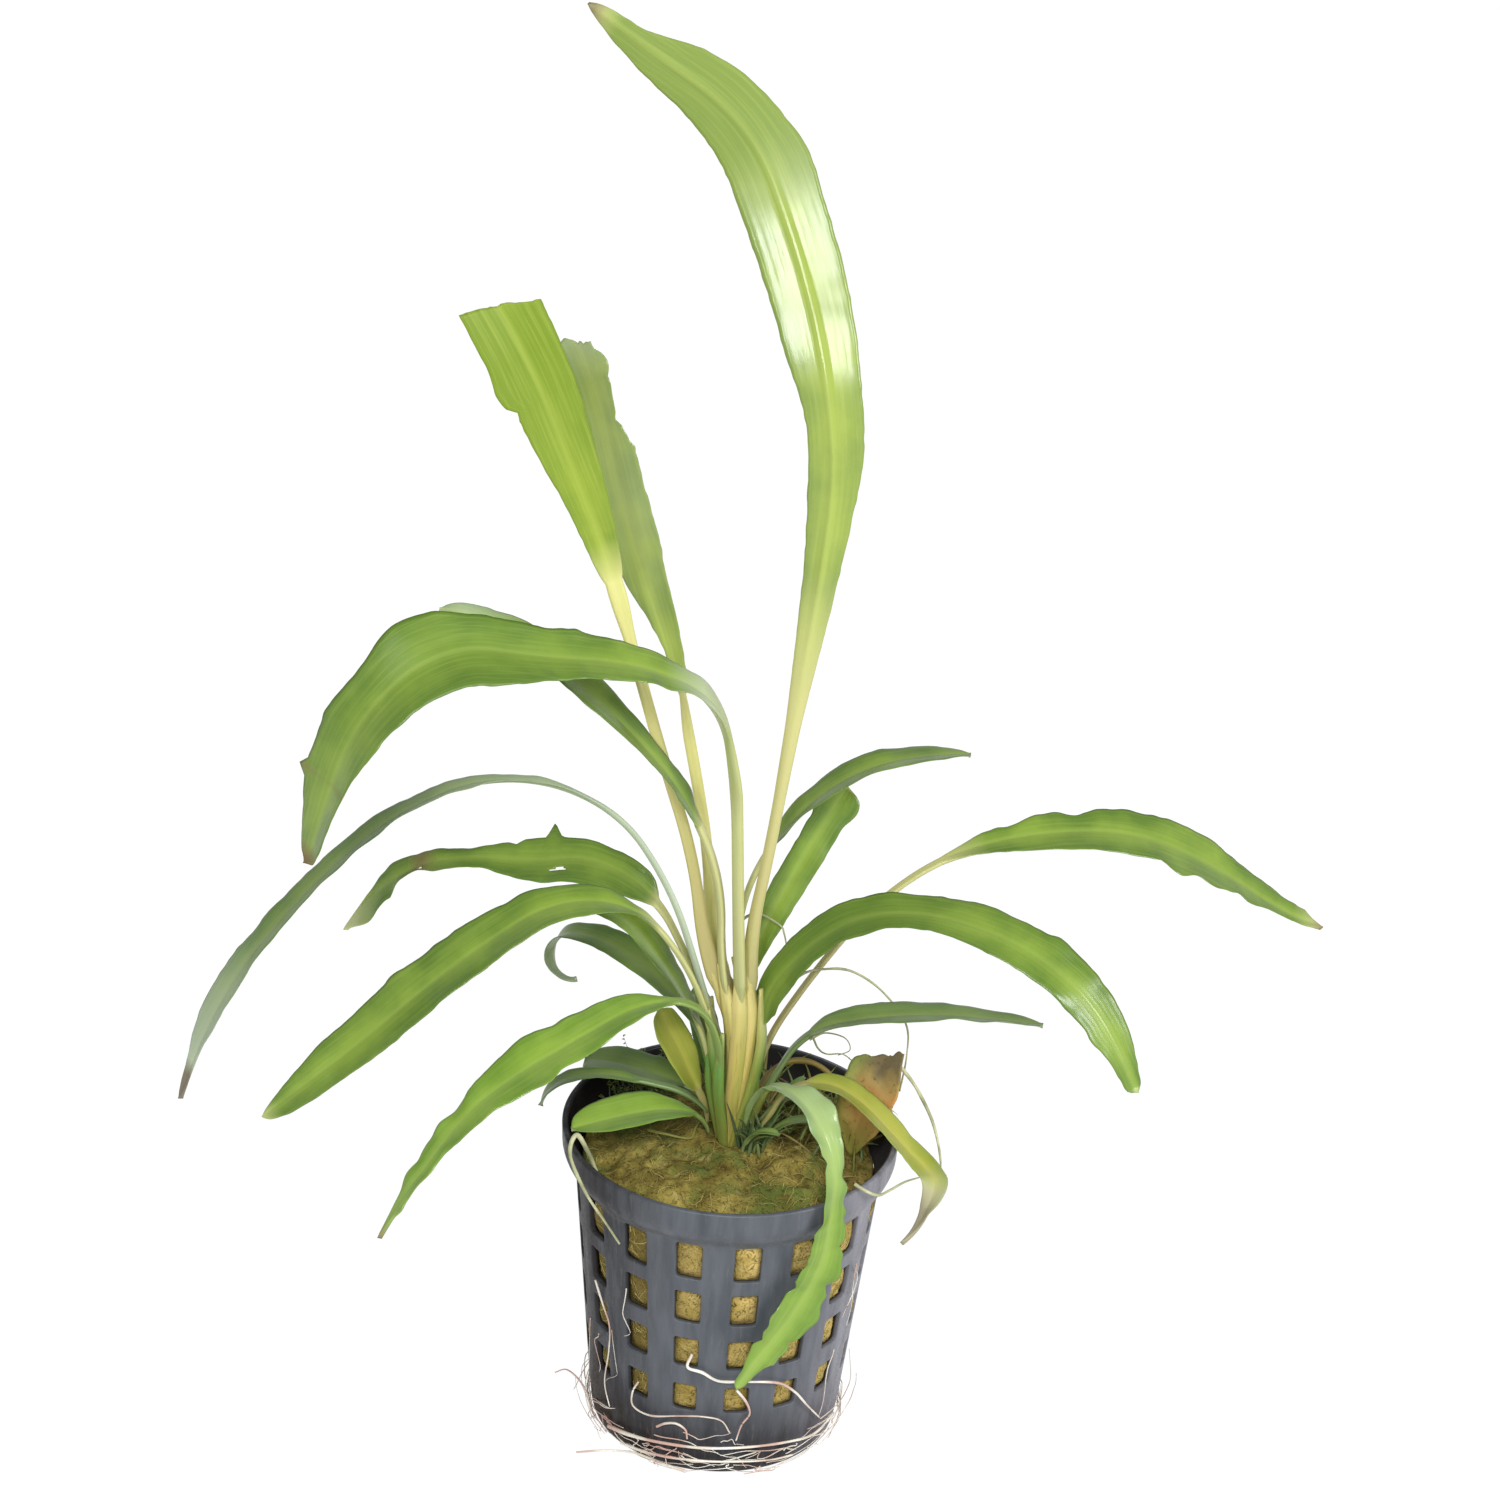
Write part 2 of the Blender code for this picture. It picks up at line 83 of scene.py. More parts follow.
def add_node(owner, kind, inputs=(), stops=(), **settings):
    """Adds a node and returns it. A Mix node mixes colours.

    inputs fills the sockets in use in their order, or maps their names to what they take: a value, a hex
    colour, a socket, or a node whose first output in use feeds it. stops are a ramp's (place, hex) pairs.
    """
    tree = owner.node_tree
    node = tree.nodes.new("ShaderNode" + kind)
    if kind == "Mix":
        node.data_type = "RGBA"
    for setting, value in settings.items():
        setattr(node, setting, value)
    if stops:
        ramp = node.color_ramp.elements
        while len(ramp) < len(stops):
            ramp.new(1.0)
        for element, (place, hex_colour) in zip(ramp, stops):
            element.position = place
            element.color = linear(hex_colour)
    sockets = [socket for socket in node.inputs if socket.enabled]
    if isinstance(inputs, dict):
        sockets = [next(socket for socket in sockets if socket.name == name) for name in inputs]
        inputs = inputs.values()
    for socket, value in zip(sockets, inputs):
        if isinstance(value, bpy.types.Node):
            value = next(one for one in value.outputs if one.enabled)
        if isinstance(value, bpy.types.NodeSocket):
            tree.links.new(value, socket)
        else:
            socket.default_value = linear(value) if isinstance(value, str) else value
    return node


def ramp_skin(name, stops, roughness, ior, noise=None):
    """A plain material: its colour is read off a ramp, by noise (size in mm, detail) or by each strand's
    own tone where there is none."""
    skin = new_material(name)
    if noise:
        place = add_node(skin, "TexCoord").outputs["Object"]
        level = add_node(skin, "TexNoise", (place, 1.0 / (noise[0] * MM), noise[1]))
    else:
        level = add_node(skin, "Attribute", attribute_name="tone").outputs["Fac"]
    colour = add_node(skin, "ValToRGB", (level,), stops=stops)
    surface = add_node(skin, "BsdfPrincipled", {"Base Color": colour, "Roughness": roughness, "IOR": ior})
    add_node(skin, "OutputMaterial", (surface,))
    return skin


def grid_quads(rows, columns, wrap=False):
    """Corner numbers of a grid's quads, with its points laid out row by row.

    A quad's front faces columns crossed with rows. wrap joins the last column to the first.
    """
    row, column = np.mgrid[0:rows - 1, 0:columns if wrap else columns - 1]
    after = (column + 1) % columns
    corners = (row * columns + column, row * columns + after,
               (row + 1) * columns + after, (row + 1) * columns + column)
    return np.stack(corners, axis=-1).reshape(-1, 4)


def welded(points, quads, marks=None):
    """Points less than a micron apart become one. A quad that loses a corner is left as a triangle."""
    _, first, place = np.unique(np.round(points, 3), axis=0, return_index=True, return_inverse=True)
    quads = place.reshape(-1)[quads]
    own = quads != np.roll(quads, 1, axis=1)
    corners = own.sum(axis=1)
    triangles = quads[corners == 3][own[corners == 3]].reshape(-1, 3)
    marks = {name: values[first] for name, values in (marks or {}).items()}
    return points[first], [quads[corners == 4], triangles], marks


def add_piece(name, points, faces, material, marks=None):
    """A smooth mesh object at the origin from points in mm and arrays of quads and triangles.

    marks are the piece's own values at each point, which its material reads by name.
    """
    faces = [faces] if isinstance(faces, np.ndarray) else faces
    used, corners = np.unique(np.concatenate([face.ravel() for face in faces]), return_inverse=True)
    sizes = np.concatenate([np.full(len(face), face.shape[1]) for face in faces])
    mesh = bpy.data.meshes.new(name)
    mesh.vertices.add(len(used))
    mesh.vertices.foreach_set("co", (points[used] * MM).astype(np.float32).ravel())
    mesh.loops.add(len(corners))
    mesh.loops.foreach_set("vertex_index", corners.reshape(-1).astype(np.int32))
    mesh.polygons.add(len(sizes))
    mesh.polygons.foreach_set("loop_start", (np.cumsum(sizes) - sizes).astype(np.int32))
    for mark, values in (marks or {}).items():
        is_vector = values.ndim == 2
        layer = mesh.attributes.new(mark, "FLOAT_VECTOR" if is_vector else "FLOAT", "POINT")
        layer.data.foreach_set("vector" if is_vector else "value", values[used].astype(np.float32).ravel())
    mesh.update(calc_edges=True)
    mesh.polygons.foreach_set("use_smooth", np.ones(len(sizes), dtype=bool))
    mesh.materials.append(material)
    piece = bpy.data.objects.new(name, mesh)
    bpy.context.scene.collection.objects.link(piece)
    return piece


def on_ring(direction, radius, height):
    """Points at a direction in degrees, a radius and a height round the pot's axis."""
    angle = np.radians(direction)
    return np.stack(np.broadcast_arrays(radius * np.cos(angle), radius * np.sin(angle), height), axis=-1)


card = new_material("white_card")  # matt uncoated card on a light table: an even white with a soft shadow
card_face = add_node(card, "BsdfDiffuse", (CARD_WHITE,))
card_light = add_node(card, "Emission", ("#FFFFFF", CARD_LIGHT))
card_mix = add_node(card, "MixShader", (CARD_GLOW, card_face, card_light))
add_node(card, "OutputMaterial", (card_mix,))
card_radii = np.array(((0.0,), (CARD_RADIUS / MM,)))
card_points = on_ring(np.linspace(0.0, 360.0, 65)[None, :], card_radii, CARD_LEVEL)
card_points, card_faces, _ = welded(card_points.reshape(-1, 3), grid_quads(2, 65)[:, ::-1])
add_piece("white_card_floor", card_points, card_faces, card)

tent = bpy.data.worlds.new("white_tent")
tent.use_nodes = True
tent.node_tree.nodes.clear()
tent_up = add_node(tent, "SeparateXYZ", (add_node(tent, "TexCoord").outputs["Generated"],))
tent_colour = add_node(tent, "ValToRGB", (tent_up.outputs["Z"],), stops=((0.15, TENT_LOW), (0.75, TENT_HIGH)))
tent_glow = add_node(tent, "Background", (tent_colour, 1.0))
add_node(tent, "OutputWorld", (tent_glow,))
bpy.context.scene.world = tent
bpy.context.scene.view_settings.view_transform = "Standard"

tilt = np.radians(CAMERA_ELEVATION)
roll = np.radians(CAMERA_ROLL)
view_forward = np.array((0.0, np.cos(tilt), -np.sin(tilt)))
level_right = np.array((1.0, 0.0, 0.0))
level_up = np.cross(level_right, view_forward)
view_right = np.cos(roll) * level_right + np.sin(roll) * level_up
view_up = np.cos(roll) * level_up - np.sin(roll) * level_right
camera = bpy.data.objects.new("camera", bpy.data.cameras.new("camera"))
camera.data.lens = CAMERA_LENS
camera.data.sensor_width = SENSOR
camera_matrix = np.eye(4)
camera_matrix[:3, :3] = np.column_stack((view_right, view_up, -view_forward))
camera_matrix[:3, 3] = (np.array(CAMERA_TARGET) - CAMERA_DISTANCE * view_forward) * MM
camera.matrix_world = Matrix(camera_matrix.tolist())
bpy.context.scene.collection.objects.link(camera)
bpy.context.scene.camera = camera

for box_name, box_direction, box_elevation, box_distance, box_width, box_height, watts in SOFT_BOXES:
    light = bpy.data.lights.new(box_name, "AREA")
    light.shape = "RECTANGLE"
    light.size = box_width
    light.size_y = box_height
    light.energy = watts
    height_up = np.radians(box_elevation)
    toward = on_ring(box_direction, np.cos(height_up), np.sin(height_up))
    lamp = bpy.data.objects.new(box_name, light)
    side_on = np.cross((0.0, 0.0, 1.0), toward)
    side_on /= np.linalg.norm(side_on)
    lamp_matrix = np.eye(4)
    lamp_matrix[:3, :3] = np.column_stack((side_on, np.cross(toward, side_on), toward))
    lamp_matrix[:3, 3] = np.array(CAMERA_TARGET) * MM + toward * box_distance
    lamp.matrix_world = Matrix(lamp_matrix.tolist())
    bpy.context.scene.collection.objects.link(lamp)

# The net pot: one thin moulding in slate-grey polypropylene, with a flared collar, four rows of sixteen
# windows through its wall and eight slots in its floor. Every opening has the small rounded lip that the
# mould leaves. The plastic is satin, a little streaked by flow, and stained brown low on the left. Painted
# shade darkens its foot and its inside, and a painted highlight lightens its right side.
POT_PROFILE = (  # height, outer radius
    (55.0, 27.5), (51.2, 27.3), (49.6, 26.7), (48.4, 25.8), (47.4, 25.0),
    (6.0, 20.9), (2.0, 20.4), (0.5, 19.9), (0.0, 19.3),
)
POT_WALL = 1.1
POT_FLOOR = 1.4
WINDOW_COLUMNS = 16
FIRST_COLUMN = -80.0  # direction of the column just right of the front
WINDOW_ROWS = (  # height of the middle, width, height
    (43.7, 4.4, 7.0), (34.3, 4.4, 6.2), (25.0, 4.2, 5.8), (15.7, 4.0, 5.2),
)
ROW_BORDERS = (48.6, 39.0, 29.6, 20.4, 10.6)
WINDOW_CORNER = 0.55
LIP = 0.22  # radius of the rounded edge round an opening
CELL_SEGMENTS = 12
FLOOR_SLOTS = 8
FLOOR_SLOT = (3.4, 9.0)  # width, length
FLOOR_SLOT_RADIUS = 12.0
FLOOR_CELL = (6.6, 17.4)  # inner and outer radius of the ring that holds the slots
FOOT_OUTSIDE = ((FLOOR_CELL[1], 0.0), (19.0, 0.0), (19.5, 0.1), (19.9, 0.42), (20.15, 1.0))  # radius, height
FOOT_INSIDE = ((19.15, 1.75), (18.9, 1.45), (18.5, POT_FLOOR), (FLOOR_CELL[1], POT_FLOOR))
FOOT_TOP = 2.0  # where the foot's rounding meets the straight wall
RIM_ROUNDING = 0.4
BORDER_PULL = np.r_[1.0, 0.6, 0.25, np.zeros(9), 0.5, 1.0]  # how far each ring follows its cell's border


def pot_radius(height):
    """Outer radius at a height: read along the profile and averaged half a mm each way, to round it."""
    heights, radii = np.array(POT_PROFILE[::-1]).T
    below, at, above = (np.interp(height + step, heights, radii) for step in (-0.5, 0.0, 0.5))
    return (below + 2.0 * at + above) / 4.0


def opening_patch(cell_middle, cell_half, opening_half, mm_across, wall, segments):
    """The plastic round one opening, as (across, up, depth) on a grid of rings and points.

    One parameter runs round the opening. The other runs in from the cell's square border to the
    opening's rounded outline, over the lip, through the wall, over the far lip and back out.
    mm_across is how many units of the across coordinate make one mm.
    """
    side = np.linspace(-1.0, 1.0, segments, endpoint=False)
    one = np.ones(segments)
    square = np.stack((np.r_[side, one, -side, -one], np.r_[-one, side, one, -side]), axis=-1)
    crowded = np.sin(square * np.pi / 2.0)  # the same square, with its points crowded to the corners
    sharp = crowded * opening_half
    core = np.clip(sharp, WINDOW_CORNER - np.array(opening_half), np.array(opening_half) - WINDOW_CORNER)
    away = (sharp - core) / np.linalg.norm(sharp - core, axis=-1, keepdims=True)
    turn = np.radians((30.0, 60.0, 90.0))
    lip_out, lip_deep = LIP * (1.0 - np.sin(turn)), LIP * (1.0 - np.cos(turn))
    blend = np.r_[0.0, 0.4, 0.75, 1.0, np.ones(8), 0.5, 0.0]
    offset = np.r_[LIP * np.ones(4), lip_out, 0.0, lip_out[::-1], LIP * np.ones(3)]
    depth = np.r_[np.zeros(4), lip_deep, wall / 2.0, wall - lip_deep[::-1], wall * np.ones(3)]
    outline = core + away * (WINDOW_CORNER + offset[:, None, None])
    outline = cell_middle + outline * (mm_across, 1.0)
    border = np.array(cell_middle) + square * cell_half
    place = border * (1.0 - blend[:, None, None]) + outline * blend[:, None, None]
    return place[..., 0], place[..., 1], np.broadcast_to(depth[:, None], place.shape[:2])


def turned(profile, directions):
    """A profile of (radius, height) carried round the axis: rows along the profile, columns round it."""
    profile = np.array(profile)
    points = on_ring(np.asarray(directions)[None, :], profile[:, :1], profile[:, 1:])
    return points.reshape(-1, 3), grid_quads(len(profile), len(directions), wrap=True)


def joined(parts):
    """Several (points, quads) as one: each one's corner numbers move on past the points before it."""
    starts = np.cumsum([0] + [len(points) for points, _ in parts[:-1]])
    return np.vstack([points for points, _ in parts]), np.vstack([quads + start for (_, quads), start
                                                                  in zip(parts, starts)])


pot_parts = []
column_half = 180.0 / WINDOW_COLUMNS
for (row_middle, window_width, window_height), border_top, border_bottom in zip(
        WINDOW_ROWS, ROW_BORDERS, ROW_BORDERS[1:]):
    for column in range(WINDOW_COLUMNS):
        column_direction = FIRST_COLUMN + 2.0 * column_half * column
        around, up, depth = opening_patch(
            (column_direction, row_middle), (column_half, 1.0), (window_width / 2.0, window_height / 2.0),
            np.degrees(1.0 / pot_radius(row_middle)), POT_WALL, CELL_SEGMENTS)
        cell_ends = (row_middle - 1.0, row_middle + 1.0)
        lift = np.interp(up[0], cell_ends, (border_bottom, border_top)) - up[0]
        up = up + lift[None, :] * BORDER_PULL[:, None]
        wall_points = on_ring(around, pot_radius(up) - depth, up)
        pot_parts.append((wall_points.reshape(-1, 3), grid_quads(*up.shape, wrap=True)))
floor_half = 180.0 / FLOOR_SLOTS
floor_middle = (FLOOR_CELL[0] + FLOOR_CELL[1]) / 2.0
for slot in range(FLOOR_SLOTS):
    slot_direction = FIRST_COLUMN - column_half + floor_half * (2 * slot + 1)
    around, out, depth = opening_patch(
        (slot_direction, floor_middle), (floor_half, floor_middle - FLOOR_CELL[0]),
        (FLOOR_SLOT[0] / 2.0, FLOOR_SLOT[1] / 2.0), np.degrees(1.0 / FLOOR_SLOT_RADIUS), POT_FLOOR,
        2 * CELL_SEGMENTS)
    floor_points = on_ring(around, out, depth)
    pot_parts.append((floor_points.reshape(-1, 3), grid_quads(*out.shape, wrap=True)))

round_steps = FIRST_COLUMN - column_half + np.arange(WINDOW_COLUMNS * CELL_SEGMENTS) * (
    2.0 * column_half / CELL_SEGMENTS)
collar_heights = np.linspace(ROW_BORDERS[0], POT_PROFILE[0][0] - RIM_ROUNDING, 14)
collar_out = np.column_stack((pot_radius(collar_heights), collar_heights))
quarter = np.radians(np.linspace(0.0, 90.0, 5))[1:]
rim_radius = POT_PROFILE[0][1]
rim_out = np.column_stack((rim_radius - RIM_ROUNDING * (1.0 - np.cos(quarter)),
                           POT_PROFILE[0][0] - RIM_ROUNDING * (1.0 - np.sin(quarter))))
rim_in = rim_out[::-1] * (-1.0, 1.0) + (2.0 * rim_radius - POT_WALL, 0.0)
collar_in = collar_out[::-1] - (POT_WALL, 0.0)
pot_parts.append(turned(np.vstack((collar_out, rim_out, rim_in, collar_in)), round_steps))
foot_heights = np.linspace(FOOT_TOP, ROW_BORDERS[-1], 7)
foot_wall = np.column_stack((pot_radius(foot_heights), foot_heights))
for profile in (((0.0, 0.0), (FLOOR_CELL[0], 0.0)), np.vstack((FOOT_OUTSIDE, foot_wall)),
                np.vstack((foot_wall[::-1] - (POT_WALL, 0.0), FOOT_INSIDE)),
                ((FLOOR_CELL[0], POT_FLOOR), (0.0, POT_FLOOR))):
    pot_parts.append(turned(profile, round_steps))
pot_points, pot_faces, _ = welded(*joined(pot_parts))
pot_out = np.linalg.norm(pot_points[:, :2], axis=1)
pot_marks = {"inside": np.where(pot_out < pot_radius(pot_points[:, 2]) - 0.7 * POT_WALL, 1.0, 0.0)}

# Injection-moulded polypropylene, satin: slate grey with faint upright flow streaks and fine scuffs. Water
# has run down it and left brown-black streaks at the left, which hardly shine. The dark band round the foot,
# which hardly shines either, is painted shade, the near-black inside of the wall is painted shade, and the
# soft lilac grey on its right side is a painted highlight.
plastic = new_material("slate_polypropylene")
POT_GREY = "#52565C"
POT_DARK = "#3E4349"
POT_LILAC_HIGHLIGHT = "#918D97"
POT_STAIN_AND_SHADE = "#22170F"
POT_FILM = "#6B675F"
POT_INNER_SHADE = "#1E1A18"
pot_place = add_node(plastic, "TexCoord").outputs["Object"]
upright = add_node(plastic, "Mapping", {"Vector": pot_place, "Scale": (1.0, 1.0, 0.12)})
flow = add_node(plastic, "TexNoise", (upright, 1.0 / (2.2 * MM), 4.0))
pot_colour = add_node(plastic, "ValToRGB", (flow,), stops=((0.3, POT_DARK), (0.62, POT_GREY)))
blotch = add_node(plastic, "TexNoise", (upright, 1.0 / (3.2 * MM), 5.0, 0.65))
pot_axes = add_node(plastic, "SeparateXYZ", (pot_place,))
# A brown-black stain towards the left. Low down, all round the foot, the same darkening is painted shade.
low_down = add_node(plastic, "MapRange", (pot_axes.outputs["Z"], 17.0 * MM, 3.0 * MM, 0.0, 1.4))
to_left = add_node(plastic, "MapRange", (pot_axes.outputs["X"], -8.0 * MM, -21.0 * MM, 0.0, 1.2))
stain_and_foot_shade = add_node(plastic, "Math", (low_down, to_left), operation="ADD")
stain_and_shade_share = add_node(plastic, "Math", (stain_and_foot_shade, blotch), operation="MULTIPLY", use_clamp=True)
pot_stained_and_shaded = add_node(plastic, "Mix", (stain_and_shade_share, pot_colour, POT_STAIN_AND_SHADE))
# Painted highlight: lilac grey streaks lighten the right side and stand in for the light that falls from the
# right.
to_right = add_node(plastic, "MapRange", (pot_axes.outputs["X"], 12.0 * MM, 22.0 * MM, 0.0, 0.9))
highlight_share = add_node(plastic, "Math", (to_right, flow), operation="MULTIPLY", use_clamp=True)
pot_highlighted = add_node(plastic, "Mix", (highlight_share, pot_stained_and_shaded, POT_LILAC_HIGHLIGHT))
film_noise = add_node(plastic, "TexNoise", (upright, 1.0 / (0.9 * MM), 3.0, 0.7))
film_share = add_node(plastic, "MapRange", (film_noise, 0.58, 0.75, 0.0, 0.35))
pot_filmed = add_node(plastic, "Mix", (film_share, pot_highlighted, POT_FILM))
# Painted shade: the wall's inside faces are darkened nearly to black, where shade falls inside the pot.
pot_inside = add_node(plastic, "Attribute", attribute_name="inside").outputs["Fac"]
inner_shade_share = add_node(plastic, "Math", (pot_inside, 0.85), operation="MULTIPLY")
pot_inner_shaded = add_node(plastic, "Mix", (inner_shade_share, pot_filmed, POT_INNER_SHADE))
scuff = add_node(plastic, "TexNoise", (pot_place, 1.0 / (0.5 * MM), 2.0))
pot_rough = add_node(plastic, "MapRange", (scuff, 0.3, 0.7, 0.34, 0.52))
pot_bump = add_node(plastic, "Bump", {"Height": scuff, "Strength": 0.25, "Distance": 0.05 * MM})
pot_shine = add_node(plastic, "MapRange", (stain_and_shade_share, 0.1, 0.5, 0.4, 0.06))
pot_shader = add_node(plastic, "BsdfPrincipled", {
    "Base Color": pot_inner_shaded, "Roughness": pot_rough, "IOR": 1.49, "Specular IOR Level": pot_shine,
    "Normal": pot_bump})
add_node(plastic, "OutputMaterial", (pot_shader,))

net_pot = add_piece("net_pot_moulding", pot_points, pot_faces, plastic, pot_marks)
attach(net_pot, "root")
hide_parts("net_pot")

# The growing medium: one plug of mineral wool, cut to the pot and pushed in, so that it swells a little
# into each window. Its top is crowned and lumpy, has sunk at the right and at the back left, and is matted
# with loose fibres. The top has gone olive with algae, and the wool in the windows is still ochre.
WOOL_GAP = 0.6
WOOL_BOTTOM = 1.9
WOOL_FOOT = 19.0
WOOL_CROWNING = (  # radius, height
    (0.0, 52.5), (3.1, 52.6), (4.3, 52.8), (11.0, 52.4), (18.0, 51.2), (23.6, 49.5), (26.0, 47.2))
WOOL_EDGE = 23.9  # radius where the top rolls over into the side
WOOL_SHOULDER = 46.4
WOOL_SLUMPS = ((-8.0, 22.0, 2.6), (140.0, 28.0, 2.2))  # direction, spread, depth
CROWN_MOUTH = 2.2
CROWN_HOLE = ((1.9, 50.0), (1.6, 45.6), (0.0, 45.6))  # radius, height
WOOL_DENTS = ((4.6, -5.6, 1.7, 2.4), (-11.0, 3.0, 3.0, 1.0))  # x, y, radius, depth
WOOL_TOP_LUMPS = ((0.75, 6.0, 11), (0.8, 2.8, 12), (0.25, 1.1, 13))  # height, size, seed
WOOL_SIDE_LUMPS = ((0.22, 2.2, 22), (0.14, 0.8, 23))
WOOL_SWELL = (0.75, 1.45)  # least and most that the wool swells into a window
WOOL_COLUMNS = 380
FIBRES = 700
WINDOW_FIBRES = 900
FIBRE_POINTS = 6
FIBRE_LENGTHS = (1.5, 5.5)
WINDOW_FIBRE_LENGTHS = (1.2, 3.4)
FIBRE_INNER = 2.6
FIBRE_SPREAD = 20.4  # how far out from there the top's fibres start
FIBRE_LIMIT = 23.4  # and they stay within this radius
FIBRE_MARGIN = 0.46  # a window's fibres stay within this share of its size, each way from its middle
FIBRE_RADIUS = 0.045  # real wool is ten times finer; this is the finest that shows


def lumps(points, size, seed):
    """Smooth random heights from -1 to 1 that change over about size: a seeded lattice of heights,
    read between its corners with an eased weight along each axis."""
    lattice = np.random.default_rng(seed).uniform(-1.0, 1.0, (32, 32, 32))
    cell = np.floor(points / size).astype(int)
    part = points / size - cell
    part = part * part * (3.0 - 2.0 * part)
    total = np.zeros(points.shape[:-1])
    for corner in np.ndindex(2, 2, 2):
        weight = np.where(corner, part, 1.0 - part).prod(axis=-1)
        i, j, k = np.moveaxis((cell + corner) % 32, -1, 0)
        total += weight * lattice[i, j, k]
    return total


def wool_top(x, y):
    """Height of the wool's top: crowned with radius, sunk in two directions, dented and lumpy."""
    radius, direction = np.hypot(x, y), np.degrees(np.arctan2(y, x))
    height = np.interp(radius, *np.array(WOOL_CROWNING).T)
    for middle, spread, depth in WOOL_SLUMPS:
        away = (direction - middle + 180.0) % 360.0 - 180.0
        height = height - depth * np.exp(-((away / spread) ** 2)) * np.clip((radius - 12.0) / 8.0, 0.0, 1.0)
    for dent_x, dent_y, dent_radius, depth in WOOL_DENTS:
        height = height - depth * np.exp(-((x - dent_x) ** 2 + (y - dent_y) ** 2) / dent_radius ** 2)
    flat = np.stack((x, y, 0.0 * x), axis=-1)
    for tall, size, seed in WOOL_TOP_LUMPS:
        height = height + tall * lumps(flat, size, seed)
    return height


def wool_side(direction, height):
    """Radius of the wool's side: just inside the pot's wall, swelling into every window by its own
    amount, with small lumps all over."""
    swell = np.random.default_rng(21).uniform(*WOOL_SWELL, (WINDOW_COLUMNS, len(WINDOW_ROWS)))
    radius = pot_radius(height) - POT_WALL - WOOL_GAP
    column = np.rint((direction - FIRST_COLUMN) / (2.0 * column_half)).astype(int)
    sideways = np.radians(direction - FIRST_COLUMN - 2.0 * column_half * column) * radius
    for number, (middle, width, tall) in enumerate(WINDOW_ROWS):
        inside = np.exp(-(sideways / (0.52 * width)) ** 4 - ((height - middle) / (0.52 * tall)) ** 4)
        radius = radius + swell[column % WINDOW_COLUMNS, number] * inside
    place = on_ring(direction, radius, height)
    for tall, size, seed in WOOL_SIDE_LUMPS:
        radius = radius + tall * lumps(place, size, seed)
    return radius


wool_directions = np.linspace(-180.0, 180.0, WOOL_COLUMNS, endpoint=False)[None, :]
side_heights = np.linspace(WOOL_BOTTOM, WOOL_SHOULDER, 120)[:, None]
side_rows = on_ring(wool_directions, wool_side(wool_directions, side_heights), side_heights)
top_radii = np.linspace(WOOL_EDGE, CROWN_MOUTH, 64)[:, None]
top_x, top_y, _ = np.moveaxis(on_ring(wool_directions, top_radii, 0.0), -1, 0)
top_rows = np.stack((top_x, top_y, wool_top(top_x, top_y)), axis=-1)
shoulder_share = np.sin(np.linspace(0.0, 90.0, 8)[1:-1] * np.pi / 180.0)[:, None, None]
shoulder_rows = side_rows[-1] * (1.0 - shoulder_share) + top_rows[0] * shoulder_share
bottom_rows = on_ring(wool_directions, np.array(((0.0,), (WOOL_FOOT,))), WOOL_BOTTOM)
hole_radii, hole_heights = np.array(CROWN_HOLE).T[:, :, None]
hole_rows = on_ring(wool_directions, hole_radii, hole_heights)
wool_grid = np.concatenate((bottom_rows, side_rows, shoulder_rows, top_rows, hole_rows))
wool_points, wool_faces, _ = welded(wool_grid.reshape(-1, 3), grid_quads(*wool_grid.shape[:2], wrap=True))


def strands(paths, radii, sides):
    """Tubes along many paths at once: paths is (strands, points, 3) and radii (strands, points).

    Each point carries a ring square to the path, or to X where the path stands still. The ends close on a
    point. Returns points and quads.
    """
    forward = np.gradient(paths, axis=1)
    step = np.linalg.norm(forward, axis=-1, keepdims=True)
    forward = np.where(step > 0.0, forward / (step + 1e-9), (1.0, 0.0, 0.0))
    helper = np.where(np.abs(forward[..., 2:]) > 0.9, (1.0, 0.0, 0.0), (0.0, 0.0, 1.0))
    first = np.cross(helper, forward)
    first /= np.linalg.norm(first, axis=-1, keepdims=True)
    second = np.cross(forward, first)
    angle = np.linspace(0.0, 2.0 * np.pi, sides, endpoint=False)
    ring = first[..., None, :] * np.cos(angle)[:, None] + second[..., None, :] * np.sin(angle)[:, None]
    rows = paths[:, :, None, :] + ring * radii[:, :, None, None]
    start, end = (np.repeat(paths[:, [place], None, :], sides, axis=2) for place in (0, -1))
    rows = np.concatenate((start, rows, end), axis=1)
    quads = grid_quads(rows.shape[1], sides, wrap=True)
    starts = np.arange(len(paths)) * rows.shape[1] * sides
    return rows.reshape(-1, 3), (quads[None] + starts[:, None, None]).reshape(-1, 4)


def tones(paths, sides, values):
    """One value for each strand, spread over that strand's points."""
    return np.repeat(values, (paths.shape[1] + 2) * sides)


# Loose fibres on the top: each wanders off in the plane from where it starts, and is laid on the wool.
chance = np.random.default_rng(31)
fibre_share = np.linspace(0.0, 1.0, FIBRE_POINTS)
fibre_length = chance.uniform(*FIBRE_LENGTHS, FIBRES)[:, None]
fibre_heading = chance.uniform(0.0, 2.0 * np.pi, FIBRES)[:, None] + chance.normal(
    0.0, 1.4, FIBRES)[:, None] * fibre_share + chance.normal(0.0, 0.25, (FIBRES, FIBRE_POINTS))
fibre_out = FIBRE_INNER + FIBRE_SPREAD * chance.uniform(0.0, 1.0, FIBRES) ** 0.55
fibre_start = on_ring(chance.uniform(-180.0, 180.0, FIBRES), fibre_out, 0.0)
fibre_step = np.stack((np.cos(fibre_heading), np.sin(fibre_heading)), axis=-1) * (
    fibre_length / FIBRE_POINTS)[..., None]
fibre_flat = fibre_start[:, None, :2] + np.cumsum(fibre_step, axis=1)
